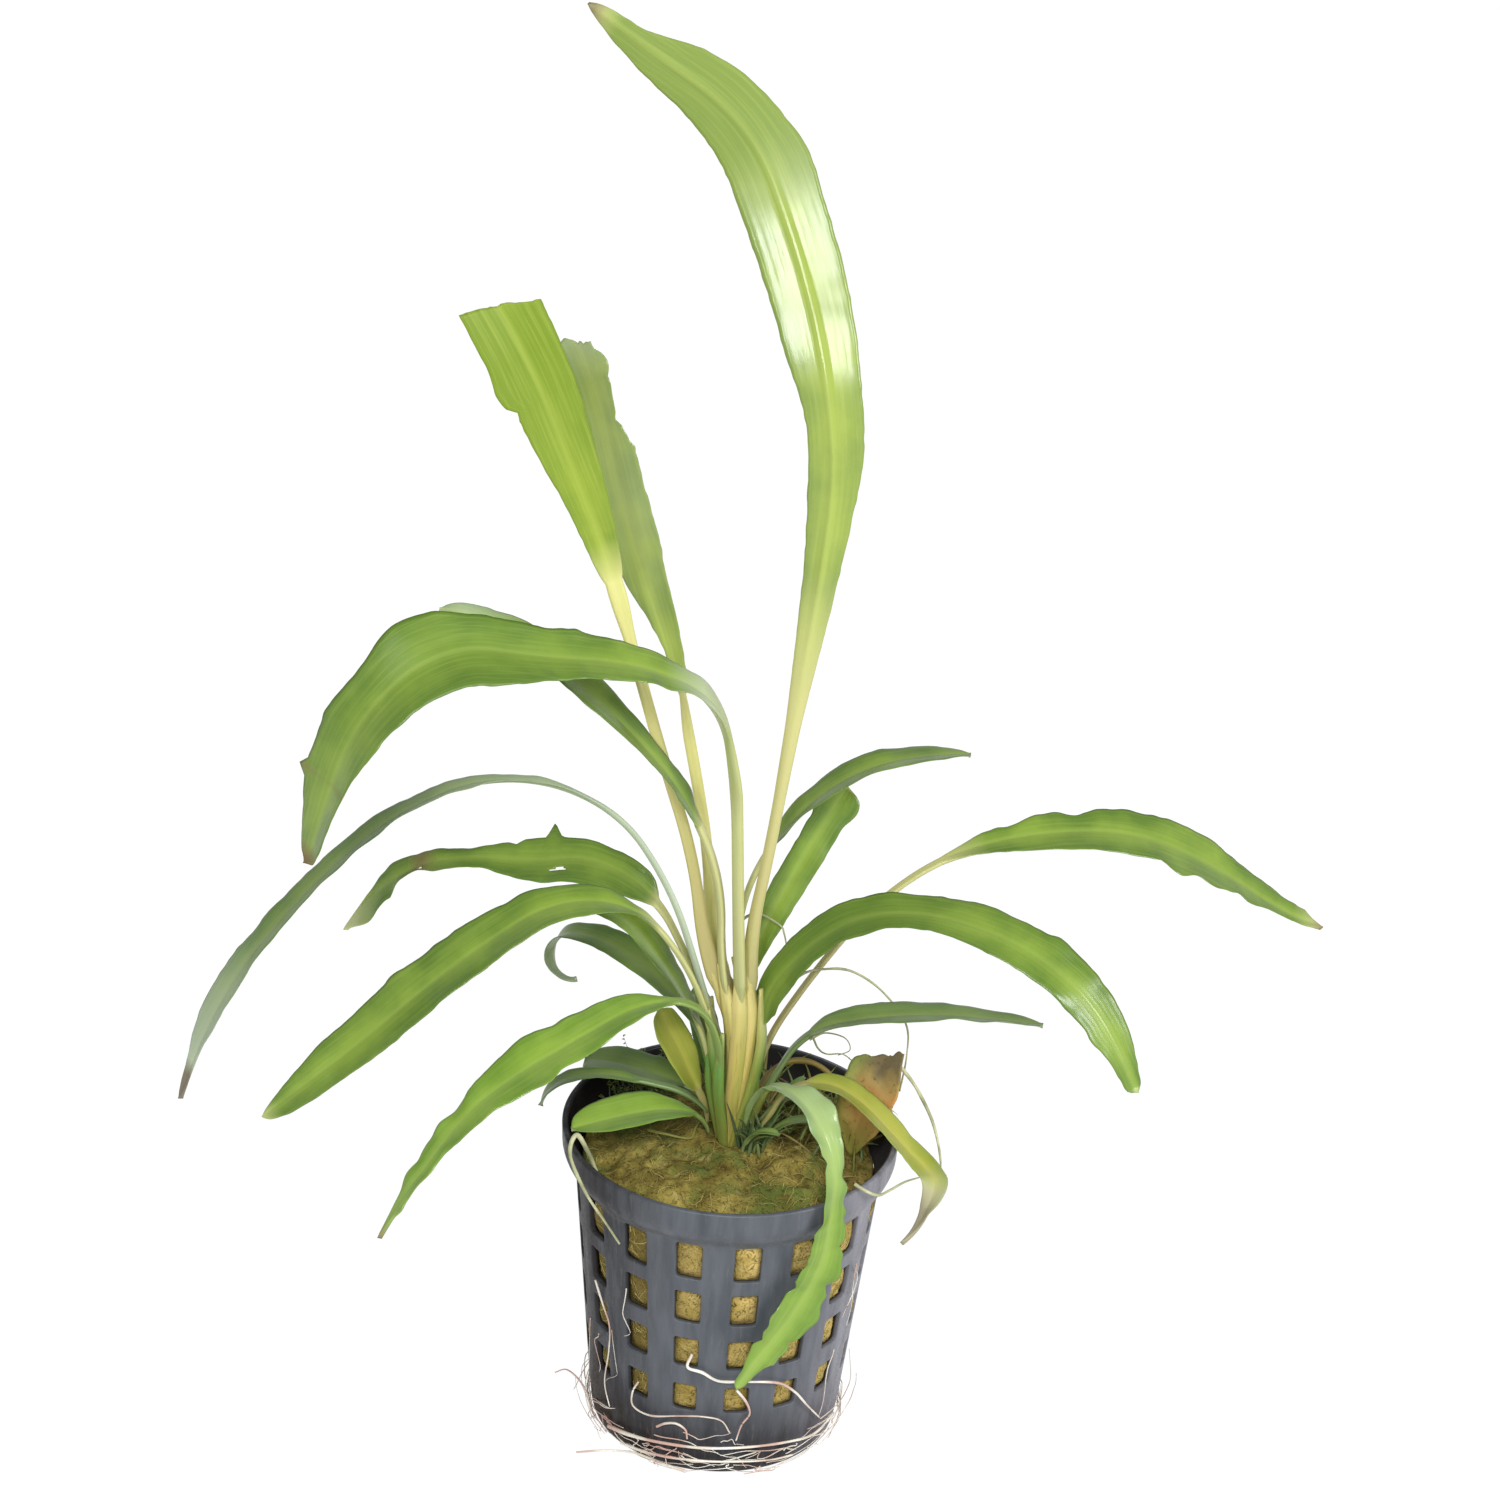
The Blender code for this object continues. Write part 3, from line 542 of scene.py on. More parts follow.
fibre_flat *= np.minimum(1.0, FIBRE_LIMIT / np.linalg.norm(fibre_flat, axis=-1, keepdims=True))
fibre_lift = 0.06 + np.sin(np.pi * fibre_share) * chance.gamma(1.2, 0.28, FIBRES)[:, None]
fibre_top = wool_top(fibre_flat[..., 0], fibre_flat[..., 1]) + fibre_lift
top_fibres = np.concatenate((fibre_flat, fibre_top[..., None]), axis=-1)

# Fibres in the windows: each lies across the wool that swells into its opening, within the opening.
window_pick = chance.integers(0, WINDOW_COLUMNS * len(WINDOW_ROWS), WINDOW_FIBRES)
pick_column, pick_row = window_pick % WINDOW_COLUMNS, window_pick // WINDOW_COLUMNS
pick_middle, pick_width, pick_height = np.array(WINDOW_ROWS)[pick_row].T
slant = chance.uniform(0.0, np.pi, WINDOW_FIBRES)[:, None]
reach = (fibre_share - 0.5) * chance.uniform(*WINDOW_FIBRE_LENGTHS, WINDOW_FIBRES)[:, None]
window_bend = chance.normal(0.0, 0.35, WINDOW_FIBRES)[:, None] * (fibre_share - 0.5) ** 2 * 4.0
fibre_side = chance.uniform(-0.42, 0.42, WINDOW_FIBRES)[:, None] * pick_width[:, None] + reach * np.cos(slant)
fibre_up = chance.uniform(-0.42, 0.42, WINDOW_FIBRES)[:, None] * pick_height[:, None] + reach * np.sin(slant)
side_limit, up_limit = FIBRE_MARGIN * pick_width[:, None], FIBRE_MARGIN * pick_height[:, None]
fibre_side = np.clip(fibre_side + window_bend, -side_limit, side_limit)
fibre_up = np.clip(fibre_up, -up_limit, up_limit) + pick_middle[:, None]
fibre_direction = FIRST_COLUMN + 2.0 * column_half * pick_column[:, None] + np.degrees(
    fibre_side / pot_radius(fibre_up))
window_fibres = on_ring(fibre_direction, wool_side(fibre_direction, fibre_up) + 0.05, fibre_up)
fibre_paths = np.concatenate((top_fibres, window_fibres))
fibre_tone = np.r_[chance.uniform(0.0, 1.0, FIBRES), chance.uniform(0.35, 1.0, WINDOW_FIBRES)]
fibre_radii = chance.uniform(0.6, 1.3, len(fibre_paths))[:, None] * FIBRE_RADIUS
fibre_radii = np.repeat(fibre_radii, FIBRE_POINTS, axis=1)
fibre_points, fibre_quads = strands(fibre_paths, fibre_radii, 3)
fibre_marks = {"tone": tones(fibre_paths, 3, fibre_tone)}

# Stone wool spun into a matt block: a dull, soft surface that holds pale stray fibres. Its pits are painted
# shade, dark spots where the fine noise is low.
WOOL_OCHRE = "#B8A060"
WOOL_TAN = "#95803F"
WOOL_LEFT_DARK = "#54481E"
WOOL_OLIVE = "#796C32"
WOOL_BROWN = "#53441E"
WOOL_ALGAE = "#56682E"
wool = new_material("stone_wool")
wool_place = add_node(wool, "TexCoord").outputs["Object"]
wool_axes = add_node(wool, "SeparateXYZ", (wool_place,))
wool_cloud = add_node(wool, "TexNoise", (wool_place, 1.0 / (3.8 * MM), 5.0, 0.6))
wool_fine = add_node(wool, "TexNoise", {
    "Vector": wool_place, "Scale": 1.0 / (0.7 * MM), "Detail": 3.0, "Distortion": 1.5})
side_ochre = add_node(wool, "ValToRGB", (wool_cloud,), stops=((0.34, WOOL_TAN), (0.6, WOOL_OCHRE)))
# The wool's side darkens towards the left, to a dark olive brown.
left_dark_share = add_node(wool, "MapRange", (wool_axes.outputs["X"], -2.0 * MM, -13.0 * MM, 0.0, 0.85))
side_colour = add_node(wool, "Mix", (left_dark_share, side_ochre, WOOL_LEFT_DARK))
top_colour = add_node(wool, "ValToRGB", (wool_cloud,), stops=(
    (0.3, WOOL_BROWN), (0.45, WOOL_OLIVE), (0.58, "#8E8040"), (0.72, "#AA9A5E")))
top_share = add_node(wool, "MapRange", (wool_axes.outputs["Z"], 46.0 * MM, 49.5 * MM))
wool_both = add_node(wool, "Mix", (top_share, side_colour, top_colour))
algae_noise = add_node(wool, "TexNoise", (wool_place, 1.0 / (8.0 * MM), 4.0))
algae_patch = add_node(wool, "MapRange", (algae_noise, 0.5, 0.62, 0.0, 0.75))
algae_share = add_node(wool, "Math", (algae_patch, top_share), operation="MULTIPLY")
wool_green = add_node(wool, "Mix", (algae_share, wool_both, WOOL_ALGAE))
# Painted shade in the pits: darkened where the fine noise is low, the same places that the bump sinks.
pit_shade_share = add_node(wool, "MapRange", (wool_fine, 0.48, 0.32, 0.0, 0.85))
wool_pit_shaded = add_node(wool, "Mix", (pit_shade_share, wool_green, "#3C3118"))
wool_bump = add_node(wool, "Bump", {"Height": wool_fine, "Strength": 0.7, "Distance": 0.25 * MM})
wool_shader = add_node(wool, "BsdfPrincipled", {
    "Base Color": wool_pit_shaded, "Roughness": 0.95, "IOR": 1.45, "Specular IOR Level": 0.2,
    "Normal": wool_bump})
add_node(wool, "OutputMaterial", (wool_shader,))

# Single fibres of the same wool, melt-spun glassy threads: straw and olive, and paler where they catch light.
fibre_skin = ramp_skin("wool_thread", (
    (0.0, "#5A4B20"), (0.35, "#83753A"), (0.7, "#A39449"), (1.0, "#C0B070")), 0.6, 1.5)

wool_plug = add_piece("wool_plug", wool_points, wool_faces, wool)
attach(wool_plug, "root")
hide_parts("mineral_wool_plug")
fibre_points, fibre_faces, fibre_marks = welded(fibre_points, fibre_quads, fibre_marks)
wool_fibres = add_piece("wool_fibres", fibre_points, fibre_faces, fibre_skin, fibre_marks)
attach(wool_fibres, "root")

# The crown: the leaf sheaths, wide and thin-walled at the foot, that clasp one another above the short
# rhizome and narrow into the petioles. Live tissue with long fibres in it: tan where it was under the wool's
# edge, olive above, with a satin skin.
SHEATH_FOOT = 46.0
SHEATH_FOOT_RADIUS = 0.75
SHEATH_PAST = 8.0  # how far a sheath runs on inside its petiole
SHEATH_PLACES = (0.0, 0.35, 1.0, 2.0)  # foot, where the bundle narrows, petiole's base, end inside it
SHEATH_THICKNESS = (1.5, 1.4)  # at the first two places
SHEATH_END = (1.0, 0.6)  # width and thickness at the last
SHEATH_RIBS = (7.0, 0.06)  # number, height
SHEATH_ROWS = 44
SHEATH_SIDES = 20
SHEATHS = (  # leaf's base (direction, radius, height), foot's direction, first lean and heading, width, tone
    ((330, 2.3, 78.4), 330, -7, -15, 2.6, 0.50),
    ((180, 2.3, 78.4), 190, 24, 174, 3.4, 0.15),
    ((118, 2.3, 78.4), 110, 36, 148, 2.4, 0.20),
    ((275, 2.3, 78.4), 265, 4, 205, 3.2, 0.42),
    ((228, 2.3, 78.4), 215, 14, 186, 3.5, 0.30),
    ((55, 2.3, 78.4), 50, -20, 20, 2.2, 0.60),
    ((62, 4.0, 71.0), 55, -5, 28, 2.2, 0.85),
    ((186, 3.9, 74.0), 175, 17, 188, 2.2, 1.00),
    ((208, 4.0, 70.0), 225, 10, 198, 2.4, 0.95),
    ((160, 4.0, 70.0), 150, 5, 166, 2.2, 1.00),
    ((140, 4.0, 62.0), 134, 26, 147, 2.0, 0.95),
    ((176, 4.0, 64.0), 165, 4, 174, 2.0, 1.00),
    ((232, 4.0, 66.0), 215, -1, 208, 2.4, 0.95),
    ((30, 4.0, 60.0), 20, 2, 14, 2.0, 0.85),
    ((335, 4.4, 74.0), 320, -4, -24, 3.6, 0.95),
    ((8, 4.0, 58.0), 10, 22, 6, 1.8, 0.95),
)
SHEATH_TOPS = ((2.9, 2.5), (2.0, 1.6))  # width and thickness at the petiole: tall leaves, other leaves


def growth(lean, heading):
    """A unit vector leaning from upright by lean towards heading, both in degrees."""
    lean, heading = np.radians(lean), np.radians(heading)
    return np.stack(np.broadcast_arrays(
        np.sin(lean) * np.cos(heading), np.sin(lean) * np.sin(heading), np.cos(lean)), axis=-1)


def sheath(base, foot_direction, lean, heading, foot_width):
    """A flattened tube on a cubic curve from the rhizome to the leaf's base: two parameters, round the
    sheath and up it. It is widest across the outward direction and is ribbed by its long fibres."""
    share = np.linspace(0.0, 1.0, SHEATH_ROWS)[:, None]
    foot = on_ring(foot_direction, SHEATH_FOOT_RADIUS, SHEATH_FOOT)
    top = on_ring(*base)
    reach = top[2] - SHEATH_FOOT
    start_pull, end_pull = np.array((0.0, 0.0, 0.9 * reach)), growth(lean, heading) * 0.8 * reach
    path = (foot * (2 * share ** 3 - 3 * share ** 2 + 1) + start_pull * (share ** 3 - 2 * share ** 2 + share)
            + top * (3 * share ** 2 - 2 * share ** 3) + end_pull * (share ** 3 - share ** 2))
    steps = np.linspace(0.0, SHEATH_PAST, 7)[1:, None]
    path = np.vstack((path, top + growth(lean, heading) * steps))
    rows = len(path)
    place = np.r_[share[:, 0], 1.0 + steps[:, 0] / SHEATH_PAST]
    top_wide, top_thick = SHEATH_TOPS[0 if base[1] < 3.0 else 1]
    wide = np.interp(place, SHEATH_PLACES, (foot_width, foot_width, top_wide, SHEATH_END[0]))
    thick = np.interp(place, SHEATH_PLACES, (*SHEATH_THICKNESS, top_thick, SHEATH_END[1]))
    forward = np.gradient(path, axis=0)
    forward /= np.linalg.norm(forward, axis=-1, keepdims=True)
    out = on_ring(np.interp(place, (0.0, 1.0, 2.0), (foot_direction, base[0], base[0])), 1.0, 0.0)
    sideways = np.cross(forward, out)
    sideways /= np.linalg.norm(sideways, axis=-1, keepdims=True)
    facing = np.cross(sideways, forward)
    angle = np.linspace(0.0, 2.0 * np.pi, SHEATH_SIDES, endpoint=False)
    ribs = 1.0 + SHEATH_RIBS[1] * np.cos(SHEATH_RIBS[0] * angle)
    ring = (sideways[:, None] * (np.cos(angle) * ribs)[None, :, None] * wide[:, None, None] / 2.0
            + facing[:, None] * (np.sin(angle) * ribs)[None, :, None] * thick[:, None, None] / 2.0)
    points = np.concatenate((np.repeat(path[:1, None], SHEATH_SIDES, axis=1), path[:, None] + ring,
                             np.repeat(path[-1:, None], SHEATH_SIDES, axis=1)))
    return points.reshape(-1, 3), grid_quads(rows + 2, SHEATH_SIDES, wrap=True)[:, ::-1]


sheath_parts = [sheath(*row[:5]) for row in SHEATHS]
sheath_sides = 0.22 * np.cos(np.linspace(0.0, 2.0 * np.pi, SHEATH_SIDES, endpoint=False))
sheath_tone = np.concatenate([row[5] + np.tile(sheath_sides, len(points) // SHEATH_SIDES)
                              for (points, _), row in zip(sheath_parts, SHEATHS)])
crown_points, crown_faces, crown_marks = welded(*joined(sheath_parts), {"tone": sheath_tone})

# Living leaf sheath, grown in long fibres: a satin skin streaked lengthwise in tan, yellow and olive.
sheath_skin = new_material("leaf_sheath")
sheath_place = add_node(sheath_skin, "TexCoord").outputs["Object"]
sheath_long = add_node(sheath_skin, "Mapping", {"Vector": sheath_place, "Scale": (1.0, 1.0, 0.06)})
sheath_grain = add_node(sheath_skin, "TexNoise", (sheath_long, 1.0 / (0.45 * MM), 3.0))
sheath_tone_read = add_node(sheath_skin, "Attribute", attribute_name="tone").outputs["Fac"]
sheath_colour = add_node(sheath_skin, "ValToRGB", (sheath_tone_read,), stops=(
    (0.05, "#C4A67A"), (0.35, "#C0B05E"), (0.65, "#8E9442"), (1.0, "#5C843A")))
sheath_axes = add_node(sheath_skin, "SeparateXYZ", (sheath_place,))
sheath_low = add_node(sheath_skin, "MapRange", (sheath_axes.outputs["Z"], 66.0 * MM, 52.0 * MM, 0.0, 0.5))
sheath_foot = add_node(sheath_skin, "Mix", (sheath_low, sheath_colour, "#9A9042"))
grain_share = add_node(sheath_skin, "MapRange", (sheath_grain, 0.48, 0.3, 0.0, 0.5))
sheath_streaked = add_node(sheath_skin, "Mix", (grain_share, sheath_foot, "#857A3A"))
sheath_high = add_node(sheath_skin, "MapRange", (sheath_axes.outputs["Z"], 68.0 * MM, 84.0 * MM, 0.0, 0.85))
sheath_blended = add_node(sheath_skin, "Mix", (sheath_high, sheath_streaked, "#CABF7E"))
sheath_bump = add_node(sheath_skin, "Bump", {"Height": sheath_grain, "Strength": 0.5, "Distance": 0.08 * MM})
sheath_shader = add_node(sheath_skin, "BsdfPrincipled", {
    "Base Color": sheath_blended, "Roughness": 0.42, "IOR": 1.45, "Normal": sheath_bump,
    "Subsurface Weight": 0.15, "Subsurface Radius": (0.6, 0.5, 0.2), "Subsurface Scale": 1.0 * MM})
add_node(sheath_skin, "OutputMaterial", (sheath_shader,))

crown = add_piece("crown_sheaths", crown_points, crown_faces, sheath_skin, crown_marks)
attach(crown, "root")
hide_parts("crown")

# The tall leaves: the longest, which stands up and nods to the left at its tip, and two behind the arching
# ones that are torn off square. A leaf is one growth: a channelled petiole that spreads into a thin blade
# with a raised midrib beneath, parallel veins that arc from base to tip, and a waxy skin.
PETIOLE_WIDTH = 1.4
TIP_WIDTH = 0.5
TIP_START = 0.75  # share of the length where a leaf starts to narrow to its tip
TIP_ROUNDING = 1.2
PETIOLE_THICKNESS = 1.0
BLADE_THICKNESS = 0.26
EDGE_THICKNESS = 0.10
MIDRIB_HEIGHT = 0.45
MIDRIB_WIDTH = 0.55
BLADE_FOLD = 0.10  # rise of each edge above the midrib, as a share of the width
PETIOLE_REACH = 3.0  # how fast the petiole's thickness fades into the blade
FOOT_REACH = 5.0  # a petiole comes up out of its sheath over this length
ROW_STEP = 0.5
HALF_COLUMNS = 12
FRINGE = 0.10  # how much a sound edge wanders
LEAST_HALF_WIDTH = 0.12
LEAST_THICKNESS = 0.03
SHARP_REACH = 1.6
BLUSH_REACH = 75.0  # how far up from the crown a petiole is reddish


def along(values, share):
    """Read evenly spaced values at shares of the way along, 0 to 1."""
    return np.interp(share, np.linspace(0.0, 1.0, len(values)), values)


def midrib(base, heading, length, lean, steps):
    """Points up the midrib, each a short step on from the last in the direction that the leaf grows."""
    middle = (np.arange(steps) + 0.5) / steps
    step = growth(along(lean, middle), along(heading, middle)) * length / steps
    return np.vstack((np.zeros(3), np.cumsum(step, axis=0))) + on_ring(*base)


def blade_share(share, petiole, widest, fullness, kept):
    """0 on the petiole, 1 where the blade is widest, and back towards 0 at the tip: a rise and a fall
    whose powers put the top at widest, all raised to fullness."""
    place = np.clip((share * kept - petiole) / (1.0 - petiole), 1e-6, 1.0 - 1e-6)
    rise = (place / widest) ** widest
    fall = ((1.0 - place) / (1.0 - widest)) ** (1.0 - widest)
    return (rise * fall) ** fullness


def across_and_out(points, heading, roll, share):
    """Unit vectors along the leaf, across it, and out of its underside, turned about the midrib."""
    forward = np.gradient(points, axis=0)
    forward /= np.linalg.norm(forward, axis=1, keepdims=True)
    level = on_ring(along(heading, share) + 90.0, 1.0, 0.0)
    face = np.cross(level, forward)
    face /= np.linalg.norm(face, axis=1, keepdims=True)
    level = np.cross(forward, face)
    turn = np.radians(along(roll, share))[:, None]
    across = np.cos(turn) * level + np.sin(turn) * face
    return forward, across, np.cross(across, forward)


def sheet_faces(cells, rows, columns):
    """Quads of a closed sheet: the underside, the top turned over, and a wall along every edge of the
    cells that are there. cells is true where a cell is kept. Points are the underside's, then the top's."""
    number = np.arange(rows * columns).reshape(rows, columns)
    corner = [number[:-1, :-1], number[:-1, 1:], number[1:, 1:], number[1:, :-1]]
    under = np.stack(corner, axis=-1)[cells]
    faces = [under, under[:, ::-1] + rows * columns]
    edge = np.pad(cells, 1)
    beyond = (edge[:-2, 1:-1], edge[1:-1, 2:], edge[2:, 1:-1], edge[1:-1, :-2])
    for side in range(4):
        open_side = cells & ~beyond[side]
        start, end = corner[side][open_side], corner[(side + 1) % 4][open_side]
        faces.append(np.stack((end, start, start + rows * columns, end + rows * columns), axis=-1))
    return np.vstack(faces)


def bump_along(place, middle, reach, size):
    """A change of size mm at middle: eased at both ends, or a sharp tooth or tear where reach is short."""
    share = np.clip(1.0 - np.abs(place - middle) / reach, 0.0, 1.0)
    return size * (np.sin(share * np.pi / 2.0) ** 2 if reach > SHARP_REACH else share)


def edge_line(place, half_width, fringe, side, edges, seed):
    """Half the width on one side: the even outline, which wanders by up to fringe and takes the lobes and
    notches of that side, or of both."""
    spot = np.stack((place, 0 * place + 40.0 * side, 0 * place), axis=-1)
    half = half_width + fringe * lumps(spot, 1.3, 400 + seed)
    for edge_side, middle, reach, size in edges:
        if edge_side in (0, side):
            half = half + bump_along(place, middle, reach, size)
    return half


def sheet_rise(leaf_place, spread, half, leafy, fold, ruffle, crumple, seed):
    """How far the sheet stands above its midrib: a shallow fold that rises with the distance from it, ruffles
    that grow towards the edges, and the crumpling of a dead leaf."""
    flank = (60.0, 0.0, 0.0) * np.sign(spread)[:, None]
    waves = lumps(leaf_place * (0.0, 1.0, 1.0) + flank, ruffle[1] / 2.0, 500 + seed)
    rise = 2.0 * fold * np.sqrt(spread ** 2 + 0.01) * half
    rise = rise + ruffle[0] * waves * np.abs(spread) ** 1.6 * leafy
    rise = rise + 0.3 * ruffle[0] * lumps(leaf_place, 2.6, 600 + seed) * leafy * np.abs(spread)
    return rise + crumple * (lumps(leaf_place, 4.0, 700 + seed) + 0.5 * lumps(leaf_place, 1.7, 800 + seed))


def sound_cells(place, sideways, holes):
    """True for each cell of the sheet whose middle is outside every hole's ellipse."""
    cell_along = (place[1:] + place[:-1])[:, None] / 2.0
    cell_across = (sideways[1:, 1:] + sideways[:-1, :-1]) / 2.0
    cells = np.ones(cell_across.shape, dtype=bool)
    for hole_place, hole_across, hole_length, hole_width in holes:
        cells &= ((cell_along - hole_place) / (hole_length / 2.0)) ** 2 + (
            (cell_across - hole_across) / (hole_width / 2.0)) ** 2 > 1.0
    return cells


def grow_leaf(name, base, heading, length, lean, width, petiole, widest, fullness, roll, finish,
              kept=1.0, edges=(), holes=(), ruffle=(0.35, 8.0), end_cut=(0.0, 0.0), dry=(), pale_and_painted_light=(),
              deep=(), blush=0.3, stout=1.0, fold=BLADE_FOLD, crumple=0.0, seed=0):
    """One leaf as a closed sheet over two parameters, along the midrib and across it.

    The midrib and widths are the CAD node's, and stout times as much for the petiole. edges are lobes and
    notches (side, place, reach, size), holes are (place, across, length, width), ruffle is (height,
    spacing), end_cut is a torn end's (slant, raggedness), and dry, pale_and_painted_light and deep
    are (place, reach, strength), all in mm along the leaf. dry is tan, dull tissue. pale_and_painted_light
    is paler tissue: bleached in places, and painted light in others. deep is painted shade, darker
    and duller.
    """
    rows = max(round(length / ROW_STEP), 24) + 1
    share = np.linspace(0.0, 1.0, rows)
    place = share * length
    points = midrib(base, heading, length, lean, rows - 1)
    forward, across, out = across_and_out(points, heading, roll, share)
    blade = blade_share(share, petiole, widest, fullness, kept)
    narrowest = np.interp(share * kept, (TIP_START, 1.0), (PETIOLE_WIDTH * stout, TIP_WIDTH))
    half_width = (narrowest + (width - narrowest) * blade) / 2.0
    leafy = np.clip(PETIOLE_REACH * blade, 0.0, 1.0)
    spread = np.linspace(-1.0, 1.0, 2 * HALF_COLUMNS + 1)
    spread = np.sign(spread) * np.abs(spread) ** 1.25
    foot = np.interp(place, (0.0, FOOT_REACH), (0.4, 1.0))
    left, right = (np.maximum(edge_line(place, half_width, FRINGE * leafy, side, edges, seed) * foot,
                              LEAST_HALF_WIDTH)[:, None] for side in (-1, 1))
    tip = np.clip((place - length + TIP_ROUNDING) / TIP_ROUNDING, 0.0, 1.0)
    closing = np.sqrt(1.0 - 0.97 * tip ** 2) if kept == 1.0 else np.ones(rows)
    half = np.where(spread < 0.0, left, right) * closing[:, None]
    sideways = spread * half
    leaf_place = np.stack((sideways, np.broadcast_to(place[:, None], sideways.shape),
                           np.full(sideways.shape, 17.0 * seed)), axis=-1)
    leafy = leafy[:, None]
    rise = sheet_rise(leaf_place, spread, half, leafy, fold, ruffle, crumple, seed)
    torn = np.clip((place - length + 7.0) / 7.0, 0.0, 1.0)[:, None] ** 1.5
    ragged = lumps(leaf_place * (1.0, 0.0, 1.0), 1.6, 900 + seed) + 0.5 * lumps(
        leaf_place * (1.0, 0.0, 1.0), 0.6, 950 + seed)
    onward = torn * (end_cut[0] * spread + end_cut[1] * ragged)
    middle_sheet = (points[:, None] + across[:, None] * sideways[..., None] - out[:, None] * rise[..., None]
                    + forward[:, None] * onward[..., None])
    stem = PETIOLE_THICKNESS * stout * foot[:, None] * np.sqrt(np.clip(1.0 - spread ** 2, 0.0, 1.0)) / 2.0
    lamina = (EDGE_THICKNESS + (BLADE_THICKNESS - EDGE_THICKNESS) * np.sqrt(1.0 - spread ** 4)) / 2.0
    ridge = np.exp(-(sideways / MIDRIB_WIDTH) ** 2) * np.interp(share, (0.0, 1.0), (1.0, 0.35))[:, None]
    upper = np.maximum((1.0 - leafy) * stem + leafy * (lamina - 0.10 * ridge), LEAST_THICKNESS)
    under = np.maximum((1.0 - leafy) * stem + leafy * (lamina + MIDRIB_HEIGHT * ridge), LEAST_THICKNESS)
    sheet = np.concatenate((middle_sheet + out[:, None] * under[..., None],
                            middle_sheet - out[:, None] * upper[..., None]))
    faces = sheet_faces(sound_cells(place, sideways, holes), rows, 2 * HALF_COLUMNS + 1)
    # dryness, paleness_and_light and depth hold the dry mark, the pale and painted light mark, and the
    # painted shade mark.
    dryness, paleness_and_light, depth = np.zeros((3, *sideways.shape))
    for mark, spots in ((dryness, dry), (paleness_and_light, pale_and_painted_light), (depth, deep)):
        for middle, reach, strength in spots:
            mark += strength * np.clip(1.0 - np.abs(place - middle) / reach, 0.0, 1.0)[:, None]
    redness = blush * np.clip(1.2 - leaf_place[..., 1] / BLUSH_REACH, 0.0, 1.0)
    marks = {"across": spread, "blade": leafy, "dry": dryness, "pale_and_painted_light": paleness_and_light, "deep": depth,
             "blush": redness}
    marks = {mark: np.tile(np.broadcast_to(values, sideways.shape).ravel(), 2)
             for mark, values in marks.items()}
    marks["leaf_place"] = np.tile(leaf_place.reshape(-1, 3), (2, 1))
    marks["under"] = np.repeat((1.0, 0.0), sideways.size)
    piece = add_piece(name + "_grown", sheet.reshape(-1, 3), faces, finish, marks)
    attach(piece, "root")
    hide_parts(name)


